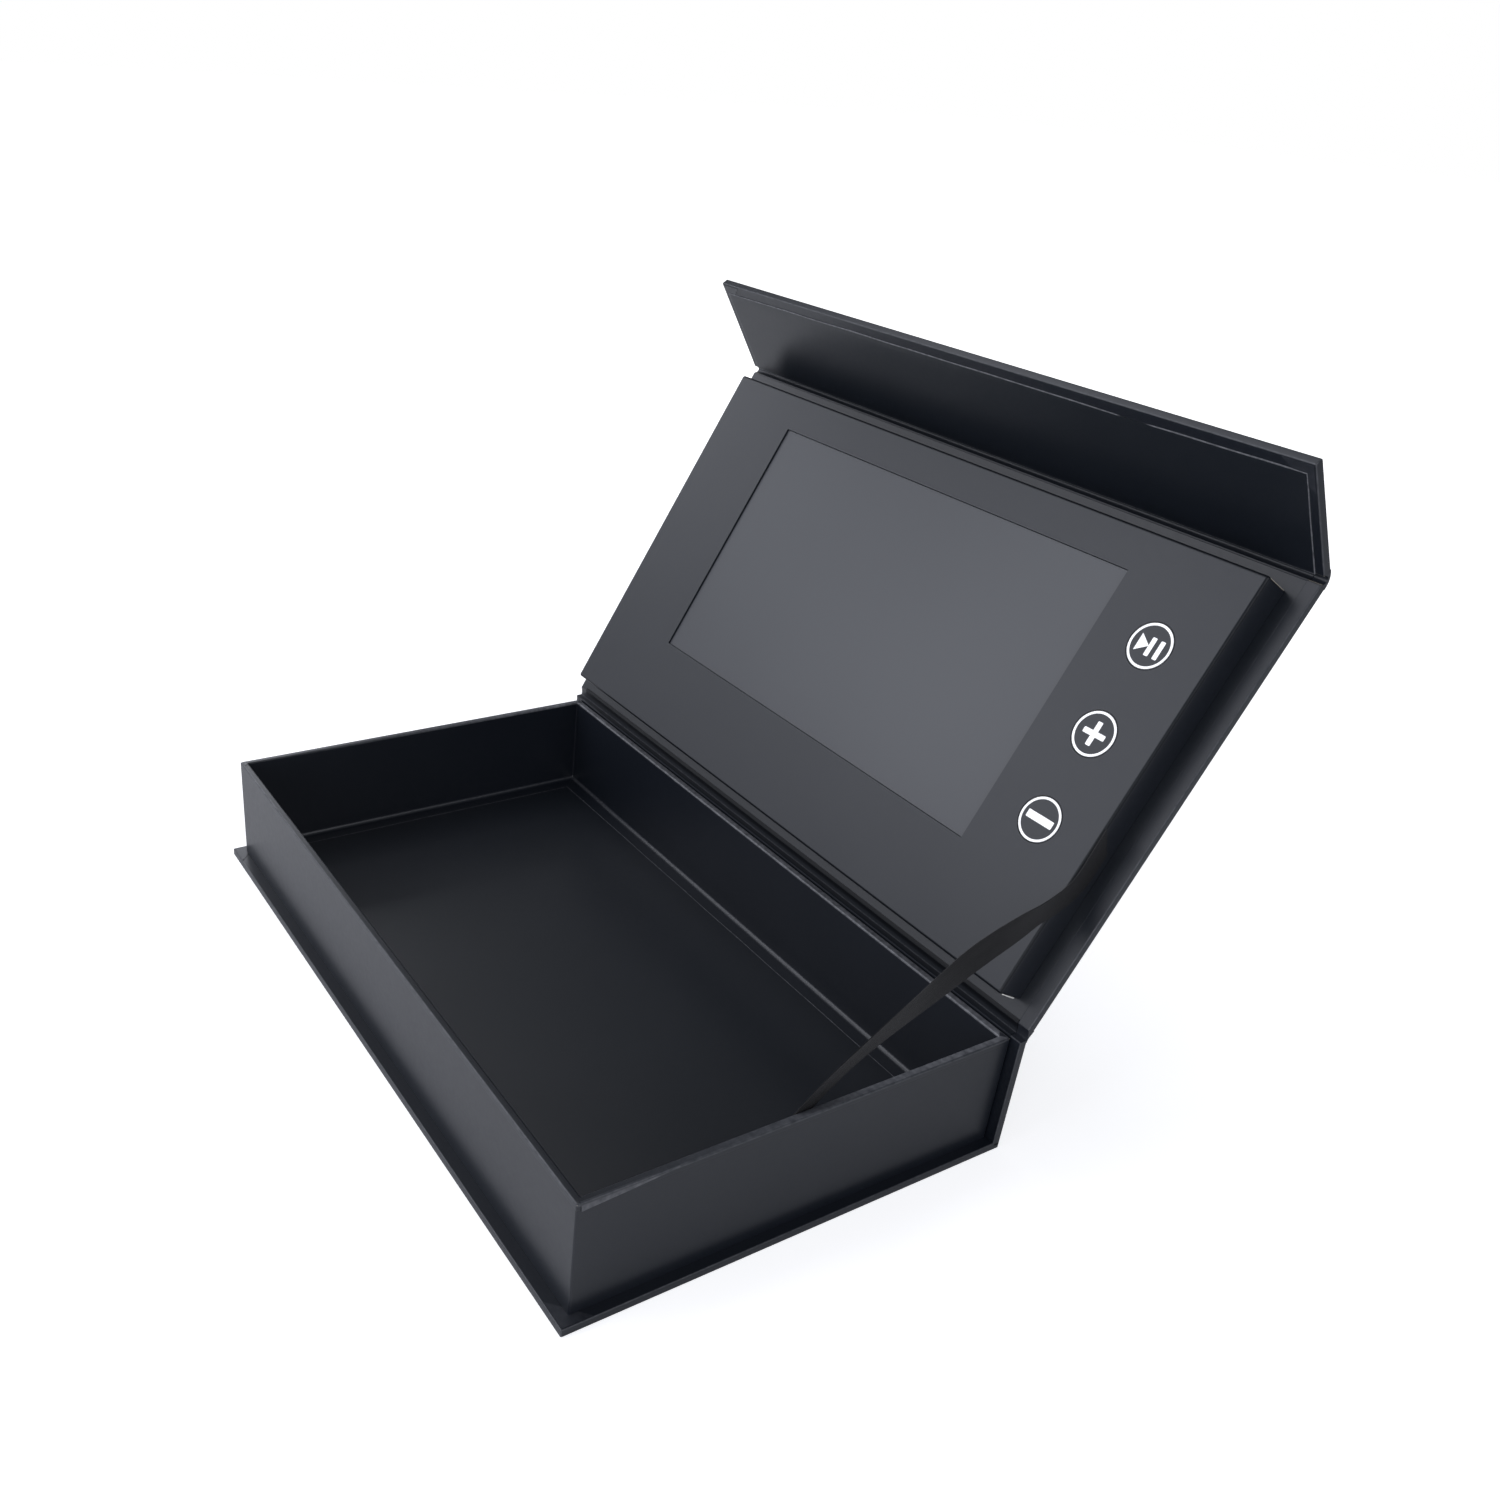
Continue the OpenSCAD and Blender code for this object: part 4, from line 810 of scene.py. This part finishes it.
def ribbon_tree():
    """Flat ribbon in mm, swept along a line of edges, turned by the attribute twist and cut at a slant at its start."""
    tree = bpy.data.node_groups.new("Ribbon along a path", "GeometryNodeTree")
    tree.interface.new_socket("Path", in_out="INPUT", socket_type="NodeSocketGeometry")
    for name in ("Width", "Thickness", "Step", "Slant", "Ripple", "Seed"):
        tree.interface.new_socket(name, in_out="INPUT", socket_type="NodeSocketFloat")
    tree.interface.new_socket("Finish", in_out="INPUT", socket_type="NodeSocketMaterial")
    tree.interface.new_socket("Ribbon", in_out="OUTPUT", socket_type="NodeSocketGeometry")
    given = add(tree, "NodeGroupInput").outputs
    path = add(tree, "GeometryNodeMeshToCurve", None, {"Mesh": given["Path"]}).outputs[0]
    path = add(tree, "GeometryNodeCurveSplineType", {"spline_type": "CATMULL_ROM"}, {"Curve": path}).outputs[0]
    path = add(tree, "GeometryNodeResampleCurve", {"mode": "LENGTH"},
               {"Curve": path, "Length": given["Step"]}).outputs[0]
    path = add(tree, "GeometryNodeSetCurveNormal", {"mode": "Z_UP"}, {"Curve": path}).outputs[0]
    twist = add(tree, "GeometryNodeInputNamedAttribute", {"data_type": "FLOAT"}, {"Name": "twist"}).outputs[0]
    path = add(tree, "GeometryNodeSetCurveTilt", None, {"Curve": path, "Tilt": twist}).outputs[0]
    along = add(tree, "GeometryNodeSplineParameter").outputs["Length"]
    path = add(tree, "GeometryNodeStoreNamedAttribute", {"data_type": "FLOAT", "domain": "POINT"},
               {"Geometry": path, "Name": "along", "Value": along}).outputs[0]
    run = add(tree, "GeometryNodeInputTangent").outputs[0]
    path = add(tree, "GeometryNodeStoreNamedAttribute", {"data_type": "FLOAT_VECTOR", "domain": "POINT"},
               {"Geometry": path, "Name": "run", "Value": run}).outputs[0]
    # Cross-section: thickness in x, width in y, with points along the width for the ripple
    band = add(tree, "GeometryNodeCurvePrimitiveQuadrilateral", None,
               {"Width": given["Thickness"], "Height": given["Width"]}).outputs[0]
    band = add(tree, "GeometryNodeSubdivideCurve", None, {"Curve": band, "Cuts": 9}).outputs[0]
    place = add(tree, "GeometryNodeInputPosition").outputs[0]
    across = add(tree, "ShaderNodeSeparateXYZ", None, {"Vector": place}).outputs["Y"]
    band = add(tree, "GeometryNodeStoreNamedAttribute", {"data_type": "FLOAT", "domain": "POINT"},
               {"Geometry": band, "Name": "across", "Value": across}).outputs[0]
    body = add(tree, "GeometryNodeCurveToMesh", None,
               {"Curve": path, "Profile Curve": band, "Fill Caps": True}).outputs[0]
    along, across, run = (add(tree, "GeometryNodeInputNamedAttribute", {"data_type": kind}, {"Name": name}).outputs[0]
                          for name, kind in (("along", "FLOAT"), ("across", "FLOAT"), ("run", "FLOAT_VECTOR")))
    # Slanted cut: the start slides along the ribbon by its distance from the middle, all of it within 8 mm
    fade = add(tree, "ShaderNodeMapRange", None,
               {"Value": along, "From Max": 8.0, "To Min": 1.0, "To Max": 0.0}).outputs[0]
    slide = add(tree, "ShaderNodeMath", {"operation": "MULTIPLY"}, {0: across, 1: fade}).outputs[0]
    slide = add(tree, "ShaderNodeMath", {"operation": "MULTIPLY"}, {0: slide, 1: given["Slant"]}).outputs[0]
    slide = add(tree, "ShaderNodeVectorMath", {"operation": "SCALE"}, {0: run, "Scale": slide}).outputs[0]
    # Soft ripple of a ribbon that has hung slack, 12 mm along and 5 mm across
    grid = add(tree, "ShaderNodeCombineXYZ", None, {"X": across, "Y": along, "Z": given["Seed"]}).outputs[0]
    squeezed = add(tree, "ShaderNodeVectorMath", {"operation": "MULTIPLY"}, {0: grid, 1: (0.2, 0.08, 1.0)}).outputs[0]
    slack = add(tree, "ShaderNodeTexNoise", None, {"Vector": squeezed, "Scale": 1.0, "Detail": 1.0}).outputs[0]
    slack = add(tree, "ShaderNodeMapRange", None, {"Value": slack, "To Min": -1.0, "To Max": 1.0}).outputs[0]
    slack = add(tree, "ShaderNodeMath", {"operation": "MULTIPLY"}, {0: slack, 1: given["Ripple"]}).outputs[0]
    sideways = add(tree, "ShaderNodeCombineXYZ", None, {"X": slack}).outputs[0]
    moved = add(tree, "ShaderNodeVectorMath", {"operation": "ADD"}, {0: slide, 1: sideways}).outputs[0]
    body = add(tree, "GeometryNodeSetPosition", None, {"Geometry": body, "Offset": moved}).outputs[0]
    body = add(tree, "GeometryNodeStoreNamedAttribute", {"data_type": "FLOAT2", "domain": "CORNER"},
               {"Geometry": body, "Name": "length", "Value": grid}).outputs[0]
    body = add(tree, "GeometryNodeRealizeInstances", None, {"Geometry": body}).outputs[0]
    body = add(tree, "GeometryNodeSetMaterial", None, {"Geometry": body, "Material": given["Finish"]}).outputs[0]
    add(tree, "NodeGroupOutput", None, {"Ribbon": body})
    return tree


path = bpy.data.meshes.new("path")
path.from_pydata([(x, y, z) for y, z, x, twist in ROUTE], [(i, i + 1) for i in range(len(ROUTE) - 1)], [])
turn = path.attributes.new("twist", "FLOAT", "POINT")
for i, point in enumerate(ROUTE):
    turn.data[i].value = -math.radians(point[3])
strip = grown(path, ribbon_tree(), {"Width": 7.0, "Thickness": 0.25, "Step": 0.7, "Slant": 0.95, "Ripple": 0.12,
                                    "Seed": 3.0, "Finish": ribbon_satin})
strip.materials.clear()
piece = finished("ribbon", outward(strip), ROW, None, ribbon_satin, "satin_ribbon", "ribbon_stay")
bent(piece, Vector(ROUTE[-2][:2]), Vector(ROUTE[len(ON_PANEL) - 1][:2]))


# Screen

# Glass, and on it the film that fills the window almost up to the panel's face
GLASS_X, GLASS_LOW, GLASS_HIGH = 82.1, 30.7, 129.4
glass = joined([rounded_box((-GLASS_X, GLASS_LOW, 7.6), (GLASS_X, GLASS_HIGH, 8.6), 0.15, 2),
                window_box(-0.06, 8.4, PANEL_H - 0.6, 0.12)])
finished("screen_film", glass, LID, "lid", screen_face, "screen_glass", "screen_glass")


# Stage: pale floor, white surroundings and soft lights

# Half its side in metres
FLOOR_HALF = 6
floor_mesh = bpy.data.meshes.new("floor")
floor_mesh.from_pydata([(sx * FLOOR_HALF, sy * FLOOR_HALF, 0) for sx, sy in ((-1, -1), (1, -1), (1, 1), (-1, 1))], [],
                       [(0, 1, 2, 3)])
floor = bpy.data.objects.new("floor", floor_mesh)
bpy.context.scene.collection.objects.link(floor)
paper_floor, tree, shader, here = material("White studio floor", Roughness=0.9,
                                           **{"Specular IOR Level": 0.1, "Emission Color": (1, 1, 1, 1)})
# Faint cloudiness of the sheet, 120 mm
cloud = add(tree, "ShaderNodeTexNoise", None, {"Vector": here, "Scale": 8.0}).outputs[0]
colour = add(tree, "ShaderNodeMixRGB", None,
             {"Fac": cloud, "Color1": linear("f2f2f2"), "Color2": linear("f6f6f6")}).outputs[0]
seen = add(tree, "ShaderNodeLightPath").outputs["Is Camera Ray"]
# The floor stays white away from the lights, from 0.3 m out
far = add(tree, "ShaderNodeVectorMath", {"operation": "LENGTH"}, {0: here}).outputs["Value"]
lift = add(tree, "ShaderNodeMapRange", None, {"Value": far, "From Min": 0.3, "From Max": 0.9, "To Min": 0.6}).outputs[0]
glow = add(tree, "ShaderNodeMath", {"operation": "MULTIPLY"}, {0: seen, 1: lift}).outputs[0]
feed(tree, shader, {"Base Color": colour, "Emission Strength": glow})
floor_mesh.materials.append(paper_floor)

world = bpy.data.worlds.new("Studio")
bpy.context.scene.world = world
world.use_nodes = True
tree = world.node_tree
tree.nodes.clear()
rays = add(tree, "ShaderNodeLightPath")
direct = add(tree, "ShaderNodeMath", {"operation": "MAXIMUM"},
             {0: rays.outputs["Is Camera Ray"], 1: rays.outputs["Is Transmission Ray"]}).outputs[0]
soft = add(tree, "ShaderNodeBackground", None, {"Color": linear("f2f5fc"), "Strength": 0.2}).outputs[0]
white = add(tree, "ShaderNodeBackground", None, {"Color": linear("ffffff"), "Strength": 1.0}).outputs[0]
mixed = add(tree, "ShaderNodeMixShader", None, {0: direct, 1: soft, 2: white}).outputs[0]
add(tree, "ShaderNodeOutputWorld", None, {"Surface": mixed})

# Soft boxes round the object, in metres: their side, the point they face and their distance from it,
# then their slightly cool tint and the gain on their powers
BOX_SIZE, BOX_AIM, BOX_AWAY = 0.75, (0, 0, 0.07), 1.3
BOX_TINT, BOX_GAIN = (0.9, 0.92, 1.0), 1.08
# Each one's angle from +X and height in degrees, and its power in watts
for turn, height, power in ((240, 35, 2.9), (210, 35, 1.55), (225, 12, 1.2), (270, 12, 4.8),
                            (0, 35, 4.4), (180, 12, 4.8), (180, 62, 2.9), (315, 12, 3.4)):
    lamp = bpy.data.lights.new("soft box", "AREA")
    lamp.size, lamp.energy, lamp.color = BOX_SIZE, power * BOX_GAIN, BOX_TINT
    light = bpy.data.objects.new("soft box", lamp)
    a, b = math.radians(turn), math.radians(height)
    away = Vector((math.cos(a) * math.cos(b), math.sin(a) * math.cos(b), math.sin(b)))
    light.location = Vector(BOX_AIM) + away * BOX_AWAY
    light.rotation_euler = away.to_track_quat("Z", "Y").to_euler()
    bpy.context.scene.collection.objects.link(light)

# Camera at the photograph's angle, worked out from the object's proportions in it.
# The photograph is cropped off its optical centre, so the camera has a shift.
camera = bpy.data.objects.new("camera", bpy.data.cameras.new("camera"))
bpy.context.scene.collection.objects.link(camera)
right = Vector((0.51921144, 0.85151649, 0.07306941))
up = Vector((-0.45976319, 0.20621968, 0.86376574))
back = Vector((0.72044242, -0.48207169, 0.49856756))
place = Matrix.Translation((0.312545, -0.193824, 0.268955))
camera.matrix_world = place @ Matrix((right, up, back)).transposed().to_4x4()
camera.data.sensor_width = 36.0
camera.data.lens = 33.362
camera.data.shift_x, camera.data.shift_y = 0.0842, 0.0559
camera.data.clip_start, camera.data.clip_end = 0.01, 50.0
bpy.context.scene.camera = camera
bpy.context.scene.view_settings.view_transform = "Standard"
